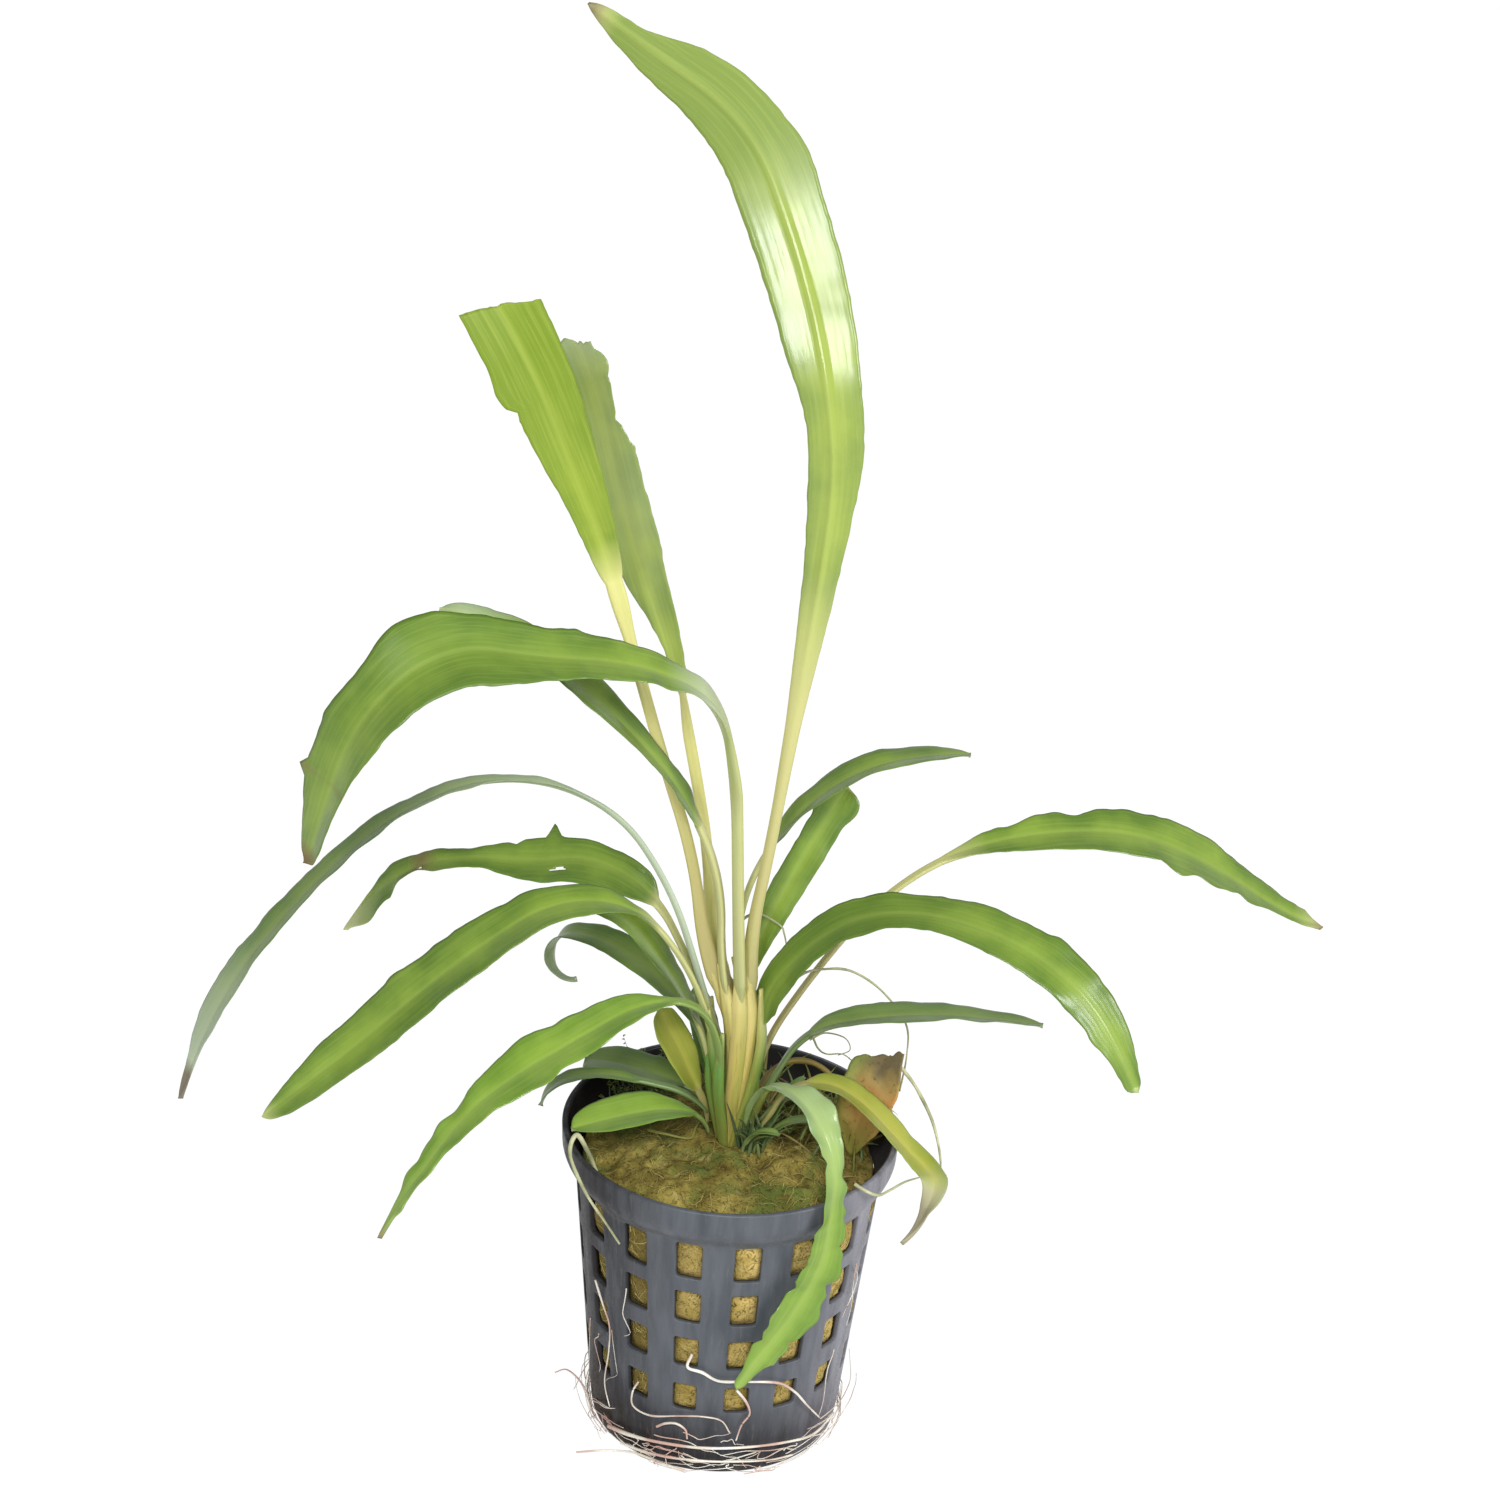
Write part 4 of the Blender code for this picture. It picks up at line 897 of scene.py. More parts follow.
def leaf_skin(name, light, dark, vein, stem, stem_blush, dried, gloss_roughness):
    """Living leaf: thin green tissue under a waxy cuticle. It is satin on top, lets some yellow-green light
    through, and is mottled, streaked along its veins and paler at the midrib. Dry parts go tan and dull."""
    skin = new_material(name)
    leaf_place = add_node(skin, "Attribute", attribute_name="leaf_place").outputs["Vector"]
    marks = {mark: add_node(skin, "Attribute", attribute_name=mark).outputs["Fac"]
             for mark in ("across", "blade", "dry", "pale_and_painted_light", "deep", "under", "blush")}
    mottle = add_node(skin, "TexNoise", (leaf_place, 1.0 / 9.0, 4.0))
    lengthwise = add_node(skin, "Mapping", {"Vector": leaf_place, "Scale": (1.0 / 0.6, 1.0 / 22.0, 1.0)})
    streak = add_node(skin, "TexNoise", (lengthwise, 1.0, 3.0))
    from_middle = add_node(skin, "Math", (marks["across"],), operation="ABSOLUTE")
    outward = add_node(skin, "MapRange", (from_middle, 0.1, 0.9, 0.16, -0.16))
    lightness = add_node(skin, "Math", (mottle, outward), operation="ADD")
    tissue = add_node(skin, "ValToRGB", (lightness,), stops=((0.3, dark), (0.7, light)))
    # Painted shade: where the deep mark is set, the tissue is darkened to its dark green and made duller.
    tissue = add_node(skin, "Mix", (marks["deep"], tissue, dark))
    streak_share = add_node(skin, "MapRange", (streak, 0.48, 0.74, 0.0, 0.3))
    streaked = add_node(skin, "Mix", (streak_share, tissue, vein))
    between_veins = add_node(skin, "Math", (marks["across"], 4.5), operation="MULTIPLY")
    between_veins = add_node(skin, "Math", (between_veins, 0.5), operation="PINGPONG")
    vein_share = add_node(skin, "MapRange", (between_veins, 0.07, 0.0, 0.0, 0.2))
    veined = add_node(skin, "Mix", (vein_share, streaked, vein))
    off_middle = add_node(skin, "SeparateXYZ", (leaf_place,)).outputs["X"]
    off_middle = add_node(skin, "Math", (off_middle,), operation="ABSOLUTE")
    rib_share = add_node(skin, "MapRange", (off_middle, 0.9, 0.2, 0.0, 0.24))
    rimmed_share = add_node(skin, "MapRange", (from_middle, 0.9, 1.0, 0.0, 0.5))
    rimmed = add_node(skin, "Mix", (rimmed_share, veined, dark))
    ribbed = add_node(skin, "Mix", (rib_share, rimmed, vein))
    stem_colour = add_node(skin, "Mix", (marks["blush"], stem, stem_blush))
    stem_streaked = add_node(skin, "Mix", (streak_share, stem_colour, vein))
    grown = add_node(skin, "Mix", (marks["blade"], stem_streaked, ribbed))
    # Paler tissue: bleached in places, and painted light in others, where shaded parts are brightened.
    faded_and_lit = add_node(skin, "Mix", (marks["pale_and_painted_light"], grown, "#E4EBDC"))
    dry_edge = add_node(skin, "Math", (marks["dry"], mottle), operation="ADD")
    dry_share = add_node(skin, "MapRange", (dry_edge, 0.75, 1.15))
    dried_off = add_node(skin, "Mix", (dry_share, faded_and_lit, dried))
    under_share = add_node(skin, "Math", (marks["under"], 0.18), operation="MULTIPLY")
    two_sided = add_node(skin, "Mix", (under_share, dried_off, "#A9B78C"))
    dull_share = add_node(skin, "Math", (marks["deep"], 0.5, dry_share), operation="MULTIPLY_ADD")
    dullness = add_node(skin, "MapRange", (dull_share, 0.0, 1.0, gloss_roughness, 0.75))
    shine = add_node(skin, "MapRange", (marks["deep"], 0.0, 1.0, 0.5, 0.15))
    relief = add_node(skin, "Math", (streak, between_veins), operation="ADD")
    skin_bump = add_node(skin, "Bump", {"Height": relief, "Strength": 0.25, "Distance": 0.08 * MM})
    surface = add_node(skin, "BsdfPrincipled", {
        "Base Color": two_sided, "Roughness": dullness, "IOR": 1.5, "Specular IOR Level": shine,
        "Normal": skin_bump})
    light_through = add_node(skin, "HueSaturation", {"Saturation": 1.1, "Value": 1.05, "Color": two_sided})
    through = add_node(skin, "BsdfTranslucent", (light_through,))
    thin = add_node(skin, "MixShader", (0.25, surface, through))
    add_node(skin, "OutputMaterial", (thin,))
    return skin


lime_leaf = leaf_skin("lime_leaf", "#9CAF38", "#7A922E", "#B6C45C", "#DAD98C", "#BFA874", "#8F8058", 0.19)
fresh_leaf = leaf_skin("fresh_leaf", "#93B146", "#739538", "#A9C266", "#86A052", "#7C9450", "#8F8058", 0.22)
grow_leaf("leaf_tallest", (330, 2.3, 78.4), (-6, -17, -21, -2, 49, 116, 119, 136, 171, 164), 181,
          (-7, 8, 6, 6, 7, 18, 37, 35, 60, 60), 12.8, 0.28, 0.66, 2.5,
          (85, 85, 80, 92, 147, 207, 207, 224, 262, 262), lime_leaf, blush=0.6,
          edges=((0, 0, 24, 0.4), (0, 62, 28, 0.4), (-1, 103, 14, -0.9), (1, 99, 12, 0.3),
                 (1, 143, 7, 0.5), (1, 171, 9, -1.2)),
          dry=((182, 7, 0.9),), deep=((157, 23, 1.6), (176, 18, 0.9)), ruffle=(0.12, 14.0), stout=1.35,
          fold=0.04, seed=1)
grow_leaf("leaf_torn_front", (180, 2.3, 78.4), (174,), 125, (24, 9, 19, 17, 17, 23, 23, 33),
          12.2, 0.50, 0.70, 1.0, (78, 70, 52), lime_leaf, kept=0.82, end_cut=(2.8, 0.35),
          edges=((0, 0, 24, 0.5), (1, 118, 13, 0.9), (1, 108.5, 1.5, -0.8), (0, 74, 10, 0.5),
                 (1, 112, 6, 1.2), (1, 92, 13, -0.5)),
          deep=((116, 42, 1.0),), ruffle=(0.22, 12.0), blush=0.55, stout=1.35, seed=2)
# The long faint pale stretch on this leaf, at 84 mm, is painted light on a part in shade. Its pale torn end
# is bleached.
grow_leaf("leaf_torn_back", (118, 2.3, 78.4), (148, 146, 140, 136), 111, (36, 4, 14, 17, 28, 26, 21, 40),
          9.3, 0.40, 0.56, 1.3, (61, 61, 76), lime_leaf, kept=0.85, end_cut=(1.6, 0.7),
          edges=((0, 0, 24, 0.5), (-1, 110, 4, -1.6), (-1, 98, 9, -1.9), (-1, 97.6, 1.1, -0.9),
                 (-1, 93, 1.0, 0.5), (-1, 87, 10, -1.0), (-1, 104, 1.2, -0.6), (-1, 87, 17, 1.2),
                 (1, 61, 17, -1.7)),
          pale_and_painted_light=((112, 8, 0.25), (84, 42, 0.14)), blush=0.3, stout=1.35, seed=3)

# The arching leaves on the left, which lean out of the crown and hang under their own weight: the wide one
# with a brown tear, the one hidden behind it, the thin one, the broad one, the ragged one and small ones.
green_leaf = leaf_skin("green_leaf", "#89A43F", "#617F30", "#A0B55A", "#CACE8C", "#BDAE78", "#86744C", 0.26)
deep_leaf = leaf_skin("deep_leaf", "#839A4B", "#627F3B", "#94A768", "#6F8A50", "#74824E", "#857A66", 0.30)
grow_leaf("leaf_wide_arch", (275, 2.3, 78.4), (205,), 147, (5, 4, 4, 12, 60, 78, 74, 129, 162, 165),
          13.6, 0.24, 0.78, 2.0, (10, 8, 24, 30, 0), green_leaf,
          edges=((0, 0, 24, 0.5), (-1, 109, 9, 1.9), (-1, 75, 16, 1.0), (-1, 133.5, 1.5, 1.3),
                 (-1, 129, 6, -0.5), (1, 98, 10, 1.6), (1, 134, 14, -1.8), (1, 105, 8, 0.7),
                 (-1, 116, 18, -0.8), (-1, 57, 9, 1.3), (-1, 76, 9, -0.8), (1, 121, 3.2, -0.5),
                 (1, 50, 10, -0.5), (-1, 42, 8, -0.8), (1, 42, 8, 0.8), (-1, 140, 8, -0.6)),
          dry=((133.5, 2.2, 0.35), (148, 6, 0.8)), pale_and_painted_light=((60, 8, 0.35),), deep=((102, 26, 0.6),),
          stout=1.8, seed=4)
grow_leaf("leaf_hidden_arch", (228, 2.3, 78.4), (186,), 92, (14, 2, 22, 38, 46, 52, 84),
          9.0, 0.37, 0.58, 1.0, (11, 12), green_leaf,
          edges=((0, 0, 24, 0.5), (-1, 84, 14, -1.0), (-1, 50, 12, -0.9)), blush=0.35,
          pale_and_painted_light=((88, 14, 0.3),), stout=1.35, seed=5)
grow_leaf("leaf_thin_arch", (186, 3.9, 74), (188,), 143, (17, 18, 33, 72, 114, 136, 143, 156, 166),
          7.0, 0.30, 0.60, 1.6, (-32, -8, 20), deep_leaf,
          edges=((0, 134, 12, -0.5), (-1, 128, 16, 1.0)), dry=((141, 7, 0.8),),
          pale_and_painted_light=((25, 62, 0.6), (136, 26, 0.45)), blush=0.0, seed=6)
grow_leaf("leaf_broad_left", (208, 4.0, 70), (198,), 103, (10, 23, 38, 80, 122, 126, 132, 127, 128),
          10.4, 0.26, 0.54, 1.4, (-2, 27), green_leaf,
          edges=((1, 44, 18, 0.7), (-1, 73, 2.2, 0.4), (-1, 52, 3.0, -0.3), (-1, 98, 10, -0.5),
                 (1, 98, 10, 0.6)), seed=7)
grow_leaf("leaf_ragged", (160, 4.0, 70), (166,), 88, (5, 28, 29, 66, 108, 95, 114, 139, 156),
          9.5, 0.30, 0.36, 1.8, (15, 40), green_leaf,
          edges=((-1, 45.4, 1.5, 2.6), (-1, 59, 13, -2.6), (1, 58, 13, -2.5), (1, 69, 7, -2.0),
                 (-1, 69, 5, -0.9), (1, 81, 8, 3.2), (-1, 81, 8, -1.0), (1, 34, 14, 1.2),
                 (-1, 52, 1.4, -0.6), (1, 75, 1.3, 0.6), (-1, 42, 15, -1.0)),
          holes=((44.0, 2.2, 2.6, 0.9), (68.5, 0.5, 1.3, 0.8)), dry=((68, 6, 0.4),), ruffle=(0.6, 6.0),
          seed=8)
grow_leaf("leaf_curled", (140, 4.0, 62), (147,), 52, (26, 26, 58, 70, 82, 108, 178, 305),
          6.0, 0.20, 0.40, 1.7, (0, 13), deep_leaf, pale_and_painted_light=((49, 12, 0.35),), seed=9)
grow_leaf("leaf_under_left", (176, 4.0, 64), (174,), 39, (4, 24, 35, 40, 100),
          7.0, 0.25, 0.60, 1.2, (-10, 19), green_leaf, seed=10)
grow_leaf("leaf_wavy_left", (232, 4.0, 66), (208,), 83, (-1, 24, 82, 113, 112, 119, 140, 144, 152),
          9.5, 0.24, 0.34, 2.3, (10, 6), fresh_leaf, ruffle=(0.9, 9.0),
          edges=((0, 8, 16, 0.8), (1, 45, 3.0, 1.2), (-1, 72, 3.0, 0.6), (1, 77, 1.8, 0.6),
                 (-1, 57, 10, -0.9), (-1, 44, 6, 0.6), (1, 48, 6, 0.5), (1, 66, 5, -0.9)),
          dry=((83, 5, 0.5),), seed=11)

# The short leaves at the left and back of the rim, some of them yellowing, all from buds low on the crown.
yellow_leaf = leaf_skin("yellow_leaf", "#B8BA4C", "#939F3E", "#C6C06C", "#B5B06A", "#A0905C", "#A9A284", 0.36)
grow_leaf("leaf_low_left", (208, 4.0, 54.3), (199,), 26, (10, 72, 94, 98, 100),
          9.5, 0.20, 0.54, 1.2, (0,), fresh_leaf, seed=12)
grow_leaf("leaf_low_back", (138, 4.0, 55), (158,), 25, (30, 84, 90, 106),
          9.0, 0.28, 0.63, 1.0, (0,), deep_leaf, seed=13)
grow_leaf("leaf_rim_left", (190, 4.0, 57.5), (176,), 32, (38, 80, 84, 112, 170),
          4.0, 0.40, 0.60, 1.0, (0,), deep_leaf, seed=14)
grow_leaf("leaf_yellow_back", (168, 4.0, 54.5), (168,), 22, (0, 30, 26, 30, 24),
          6.0, 0.30, 0.62, 0.9, (34,), yellow_leaf, seed=15)
grow_leaf("leaf_dark_back", (116, 4.0, 55.5), (130,), 21, (30, 16, 19, 26, 50),
          5.0, 0.21, 0.61, 1.0, (56,), deep_leaf, seed=16)

# The leaves on the right: two short upright ones, the long far one with a lobed edge, the glossy arching
# one, a small level one, and two that hang over the rim, one of them yellow with a dry tip.
grow_leaf("leaf_right_upper", (55, 2.3, 78.4), (20,), 66, (-20, 2, 29, 53, 83, 99),
          7.2, 0.42, 0.60, 0.9, (11,), green_leaf, edges=((0, 48, 22, 0.9),), seed=17)
grow_leaf("leaf_right_upright", (62, 4.0, 71), (28,), 46, (-5, 0, 25, 28, 32, 31),
          5.8, 0.25, 0.67, 0.9, (-51,), green_leaf,
          edges=((0, 43, 4, 0.8), (1, 33, 9, -0.4), (-1, 45, 4, 0.6)), seed=18)
grow_leaf("leaf_far_right", (30, 4.0, 60), (14,), 124, (2, 30, 36, 54, 80, 94, 118, 127, 116),
          10.4, 0.42, 0.53, 2.1, (-7, -24), green_leaf, blush=0.8,
          edges=((1, 65, 4, -0.5), (1, 75.5, 4, -1.2), (1, 84, 3, 0.3), (-1, 92, 3.5, 1.0),
                 (-1, 88.5, 1.5, -0.5), (-1, 99, 3.5, 0.9), (-1, 105, 2.4, -0.8), (1, 106, 8, -0.6),
                 (1, 120.5, 1.4, 0.5), (-1, 70, 28, 0.55), (-1, 92, 6, 0.8), (-1, 114, 7, -0.9),
                 (1, 119, 5, 0.6), (1, 84, 10, -0.4)),
          dry=((124, 5, 0.7),), seed=19)
grow_leaf("leaf_right_arch", (335, 4.4, 74), (-24,), 90, (-4, 29, 42, 63, 84, 99, 119, 143, 152),
          8.7, 0.02, 0.50, 0.7, (-70, -12, -38), green_leaf,
          edges=((-1, 37, 2.5, -0.4), (1, 62, 2.0, -0.3), (-1, 79, 3.0, 0.3), (-1, 42, 16, -0.9),
                 (1, 66, 12, 0.7), (1, 87, 8, -0.8), (-1, 84, 6, -0.5), (1, 50, 12, 0.6),
                 (-1, 26, 12, -0.8)),
          deep=((26, 30, 0.8),), fold=0.04, seed=20)
grow_leaf("leaf_right_small", (8, 4.0, 58), (6,), 55, (22, 27, 78, 87, 96, 97),
          8.2, 0.30, 0.50, 1.0, (3, 15), deep_leaf, edges=((0, 26, 24, 0.6),), seed=21)
grow_leaf("leaf_right_yellow", (338, 4.1, 54.6), (-5, -5, -5, -7, -10, -12, -60, -150, -160), 54,
          (38, 21, 71, 119, 135, 133, 98, 160, 128), 7.0, 0.25, 0.34, 2.2, (-8, 6), yellow_leaf,
          dry=((54, 16, 1.2),), pale_and_painted_light=((46, 8, 0.3),), seed=22)
grow_leaf("leaf_front_hanging", (306, 4.0, 56), (-50, -52, -50, -50, -160, -166, -166, -170), 78,
          (0, 45, 104, 157, 180, 156, 146, 150), 6.4, 0.13, 0.66, 1.2, (0, 0, 0, 0, 108, 90, 90, 82),
          fresh_leaf,
          edges=((1, 24, 9, 1.5), (1, 55, 1.5, -1.0), (1, 60.5, 2.4, 0.7), (-1, 52, 1.5, -0.6),
                 (-1, 63, 2.4, 0.6), (1, 66, 1.4, -0.8), (0, 74, 6, -0.9), (0, 38, 14, -0.8),
                 (1, 36, 1.4, -0.6), (-1, 33, 1.5, -0.7), (1, 42, 1.3, 0.5), (-1, 45, 1.5, 0.5),
                 (1, 48, 1.4, -0.9), (-1, 57, 1.4, -1.0), (-1, 68, 1.5, -1.0), (1, 71, 1.5, 0.6)),
          pale_and_painted_light=((22, 20, 0.25),), ruffle=(0.8, 5.0), seed=23)

# Three new leaves beside the crown, still rolled narrow.
for new_name, new_base, new_heading, new_length, new_lean, new_width, new_seed in (
        ("new_leaf_1", (350, 5.6, 53.3), (20,), 13, (10, 30, 50), 2.6, 24),
        ("new_leaf_2", (328, 6.4, 53.2), (0,), 12, (10, 60, 105), 2.8, 25),
        ("new_leaf_3", (292, 5.8, 53.2), (-15,), 9, (0, 50, 110), 2.4, 26)):
    grow_leaf(new_name, new_base, new_heading, new_length, new_lean, new_width, 0.20, 0.50, 1.0, (0,),
              deep_leaf, seed=new_seed)

# The withered leaf: a dead leaf that stands folded at the right of the rim, dried to crisp tissue. It is
# olive at the foot, tan and orange in the middle, grey-brown at the tip, and still green along its left.
dead = new_material("withered_tissue")
dead_place = add_node(dead, "TexCoord").outputs["Object"]
dead_cloud = add_node(dead, "TexNoise", (dead_place, 1.0 / (4.0 * MM), 5.0))
dead_leaf_place = add_node(dead, "Attribute", attribute_name="leaf_place").outputs["Vector"]
dead_axes = add_node(dead, "SeparateXYZ", (dead_leaf_place,))
dead_up = add_node(dead, "MapRange", (dead_axes.outputs["Y"], 0.0, 17.0, -0.2, 0.8))
dead_shift = add_node(dead, "Math", (dead_cloud, 0.45), operation="MULTIPLY")
dead_age = add_node(dead, "Math", (dead_up, dead_shift), operation="ADD")
dead_brown = add_node(dead, "ValToRGB", (dead_age,), stops=(
    (0.1, "#A8A048"), (0.35, "#BE9A50"), (0.6, "#C8924C"), (0.8, "#B39A5C"), (0.95, "#857652")))
dead_left = add_node(dead, "MapRange", (dead_axes.outputs["X"], 1.0, 4.2, 0.0, 0.8))
dead_green = add_node(dead, "Math", (dead_left, dead_cloud), operation="MULTIPLY")
dead_green = add_node(dead, "Math", (dead_green, 1.8), operation="MULTIPLY", use_clamp=True)
dead_colour = add_node(dead, "Mix", (dead_green, dead_brown, "#8E9C48"))
dead_fine = add_node(dead, "TexNoise", (dead_place, 1.0 / (0.8 * MM), 3.0))
dead_spot = add_node(dead, "MapRange", (dead_fine, 0.42, 0.28, 0.0, 0.6))
dead_spotted = add_node(dead, "Mix", (dead_spot, dead_colour, "#6B4A28"))
dead_bump = add_node(dead, "Bump", {"Height": dead_fine, "Strength": 0.6, "Distance": 0.15 * MM})
dead_shader = add_node(dead, "BsdfPrincipled", {
    "Base Color": dead_spotted, "Roughness": 0.7, "IOR": 1.45, "Normal": dead_bump})
dead_through = add_node(dead, "BsdfTranslucent", (dead_spotted,))
dead_thin = add_node(dead, "MixShader", (0.25, dead_shader, dead_through))
add_node(dead, "OutputMaterial", (dead_thin,))
grow_leaf("withered_leaf", (4, 20.0, 49.8), (55,), 17.5, (14, 30, 34), 10.5, 0.0, 0.78, 0.6, (0, -10, 12),
          dead, kept=0.95, end_cut=(-1.6, 0.5), crumple=0.5, seed=27)

# Dry stalks: what is left of old petioles, shrunk to stiff straw threads that lie over the rim.
ROUTE_STEPS = 14  # points to each span of a route
THREAD_SIDES = 10
THREAD_SWELL = (0.16, 2.4)  # share of the radius, spacing
STALKS = {  # radius, points
    "dry_stem_left": (0.42, ((-20.6, -12.6, 50.6), (-22.6, -12.8, 56.0), (-24.6, -13.2, 59.4),
                             (-25.4, -15.2, 56.8), (-22.6, -18.9, 52.4), (-19.2, -19.8, 47.6),
                             (-16.6, -20.6, 44.0))),
    "dry_tendril": (0.30, ((2.4, 6.2, 53.4), (2.8, 5.2, 66.0), (5.6, 3.4, 76.8), (9.6, 2.0, 82.8),
                           (13.6, 3.0, 83.7), (18.0, 5.0, 82.4), (23.0, 7.4, 77.8), (27.4, 8.6, 71.2),
                           (28.0, 8.6, 65.2), (27.3, 8.0, 58.6))),
    "dry_arc": (0.34, ((26.4, 5.6, 65.1), (27.9, 5.0, 64.0), (30.2, 4.0, 61.2), (33.0, 2.0, 56.4),
                       (34.6, 0.0, 50.7), (34.5, -1.0, 46.4))),
    "dry_thread_right": (0.30, ((20.4, -17.0, 55.9), (22.4, -17.8, 55.2), (24.4, -16.2, 53.6),
                                (26.4, -14.0, 53.4), (28.6, -12.2, 53.9), (31.0, -10.8, 54.1))),
}


def smooth_route(points):
    """Points on a smooth curve through the route's own points (Catmull-Rom)."""
    points = np.array(points, dtype=float)
    padded = np.vstack((2.0 * points[0] - points[1], points, 2.0 * points[-1] - points[-2]))
    t = (np.arange(ROUTE_STEPS) / ROUTE_STEPS)[None, :, None]
    before, start, end, after = (padded[i:len(padded) - 3 + i, None] for i in range(4))
    curve = 0.5 * (2.0 * start + (end - before) * t
                   + (2.0 * before - 5.0 * start + 4.0 * end - after) * t ** 2
                   + (3.0 * start - before - 3.0 * end + after) * t ** 3)
    return np.vstack((curve.reshape(-1, 3), points[-1:]))


def thread(name, route, radius, finish, seed, taper=0.55, tone=0.5):
    """A thin uneven tube along a route: it thins towards its end and swells and shrinks a little."""
    place = np.cumsum(np.r_[0.0, np.linalg.norm(np.diff(route, axis=0), axis=1)])
    share = place / place[-1]
    spot = np.stack((place, 0 * place, 0 * place), axis=-1)
    radii = radius * (1.0 - taper * share) * (1.0 + THREAD_SWELL[0] * lumps(spot, THREAD_SWELL[1], seed))
    points, quads = strands(route[None], radii[None], THREAD_SIDES)
    points, faces, _ = welded(points, quads)
    piece = add_piece(name, points, faces, finish, {"tone": np.full(len(points), tone)})
    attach(piece, "root")
    return piece


# Dried petiole, shrunk and papery: dull straw, and greener where some sap is left.
straw = ramp_skin("dry_straw", ((0.35, "#7C7E5A"), (0.5, "#9A9C74"), (0.65, "#B8B692")), 0.65, 1.45,
                  noise=(4.0, 4.0))
for number, (stalk, (stalk_radius, stalk_points)) in enumerate(STALKS.items()):
    stalk_piece = thread(stalk + "_grown", smooth_route(stalk_points), stalk_radius, straw, 40 + number)
    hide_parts(stalk)

# Roots: pale, pliable roots that have grown out of the windows and wind round the foot of the pot.
ROOTS = {  # radius, points as (direction, height, clearance from the pot's wall)
    "root_front_long": (0.27, ((-100, 24.5, -0.6), (-101, 22.6, 0.7), (-95, 21.9, 0.7), (-88, 20.4, 0.7),
                               (-77, 20.2, 0.7), (-63, 19.0, 0.7), (-54, 16.0, 0.7), (-46, 12.0, 0.8),
                               (-36, 7.6, 0.8))),
    "root_front_left": (0.19, ((-125, 15.6, -0.4), (-126, 13.8, 0.8), (-126, 10.8, 0.6), (-117, 10.4, 0.6),
                               (-104, 12.0, 0.6), (-94, 12.6, 0.6), (-86, 12.0, 0.6), (-82, 9.6, 0.7))),
    "root_loop": (0.22, ((-114, 8.6, 0.7), (-110, 9.8, 0.7), (-105, 10.4, 0.8), (-101, 9.4, 0.7),
                         (-100, 7.6, 0.7))),
    "root_front_drop": (0.22, ((-80, 17.6, -0.6), (-76, 15.8, 0.6), (-74, 13.2, 0.6), (-77, 11.0, 0.6),
                               (-79, 7.9, 0.8))),
    "root_ring_upper": (0.32, ((-142, 3.4, 0.9), (-128, 4.6, 0.9), (-113, 5.6, 0.9), (-94, 6.2, 0.9),
                               (-75, 6.4, 0.9), (-55, 5.7, 0.9), (-38, 4.6, 0.9), (-22, 5.4, 0.9))),
    "root_ring_lower": (0.26, ((-134, 1.6, 0.9), (-121, 2.4, 0.9), (-108, 3.0, 0.9), (-93, 3.4, 0.9),
                               (-78, 3.4, 0.9), (-62, 2.7, 0.9), (-50, 2.2, 0.9))),
    "root_trailing": (0.24, ((-100, 0.6, 1.2), (-112, 1.2, 1.0), (-125, 1.2, 1.0), (-136, 0.6, 3.4),
                             (-142, 0.5, 8.0))),
    "root_left": (0.20, ((-165, 0.8, 0.8), (-169, 3.0, 0.8), (-172, 5.2, 1.8), (-172, 7.4, 3.8),
                         (-171, 7.2, 5.8))),
    "root_left_wall": (0.17, ((-148, 31.6, 0.6), (-143, 28.0, 0.6), (-139, 24.5, 0.6), (-140, 19.0, 0.7),
                              (-144, 12.0, 0.7), (-141, 7.6, 0.7))),
}
# Young root, soft and moist: off-white with a slight sheen, pinkish in places.
root_skin = ramp_skin("young_root", ((0.4, "#B8988A"), (0.52, "#C9BFB0"), (0.68, "#E0DBD0")), 0.45, 1.42,
                      noise=(6.0, 3.0))


def wall_place(direction, height, clearance):
    """A place at this clearance outside the pot's wall, or inside it where the clearance is negative."""
    return on_ring(direction, pot_radius(height) + clearance, height)


for number, (root, (root_radius, root_points)) in enumerate(ROOTS.items()):
    route = smooth_route([wall_place(*place) for place in root_points])
    root_piece = thread(root + "_grown", route, root_radius, root_skin, 60 + number, taper=0.4)
    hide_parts(root)

# Fine roots: hair-thin side roots, tangled round the foot of the pot and straying a little on to the table,
# with a few that have run down the wall from the windows at the left and right.
FOOT_ROOTS = 110
WALL_ROOTS = 7
FINE_POINTS = 40
FINE_RADII = (0.06, 0.13)
root_chance = np.random.default_rng(71)
fine_count = FOOT_ROOTS + WALL_ROOTS
fine_share = np.linspace(0.0, 1.0, FINE_POINTS)
fine_start = np.r_[root_chance.uniform(-180.0, 180.0, FOOT_ROOTS),
                   root_chance.choice((-147.0, -32.0), WALL_ROOTS) + root_chance.normal(0.0, 8.0, WALL_ROOTS)]
fine_sweep = np.r_[root_chance.normal(0.0, 34.0, FOOT_ROOTS), root_chance.normal(0.0, 6.0, WALL_ROOTS)]
fine_foot = np.r_[0.3 + root_chance.gamma(1.5, 1.7, FOOT_ROOTS),
                  root_chance.uniform(20.0, 38.0, WALL_ROOTS)]
fine_rise = np.r_[root_chance.normal(0.0, 2.0, FOOT_ROOTS), -root_chance.uniform(8.0, 18.0, WALL_ROOTS)]
fine_stray = np.r_[root_chance.gamma(1.0, 0.35, FOOT_ROOTS), np.zeros(WALL_ROOTS)]
fine_spot = np.stack(np.broadcast_arrays(
    24.0 * fine_share, 9.1 * np.arange(fine_count)[:, None], 0.0), axis=-1)
fine_direction = fine_start[:, None] + fine_sweep[:, None] * fine_share + 6.0 * lumps(fine_spot, 10.0, 72)
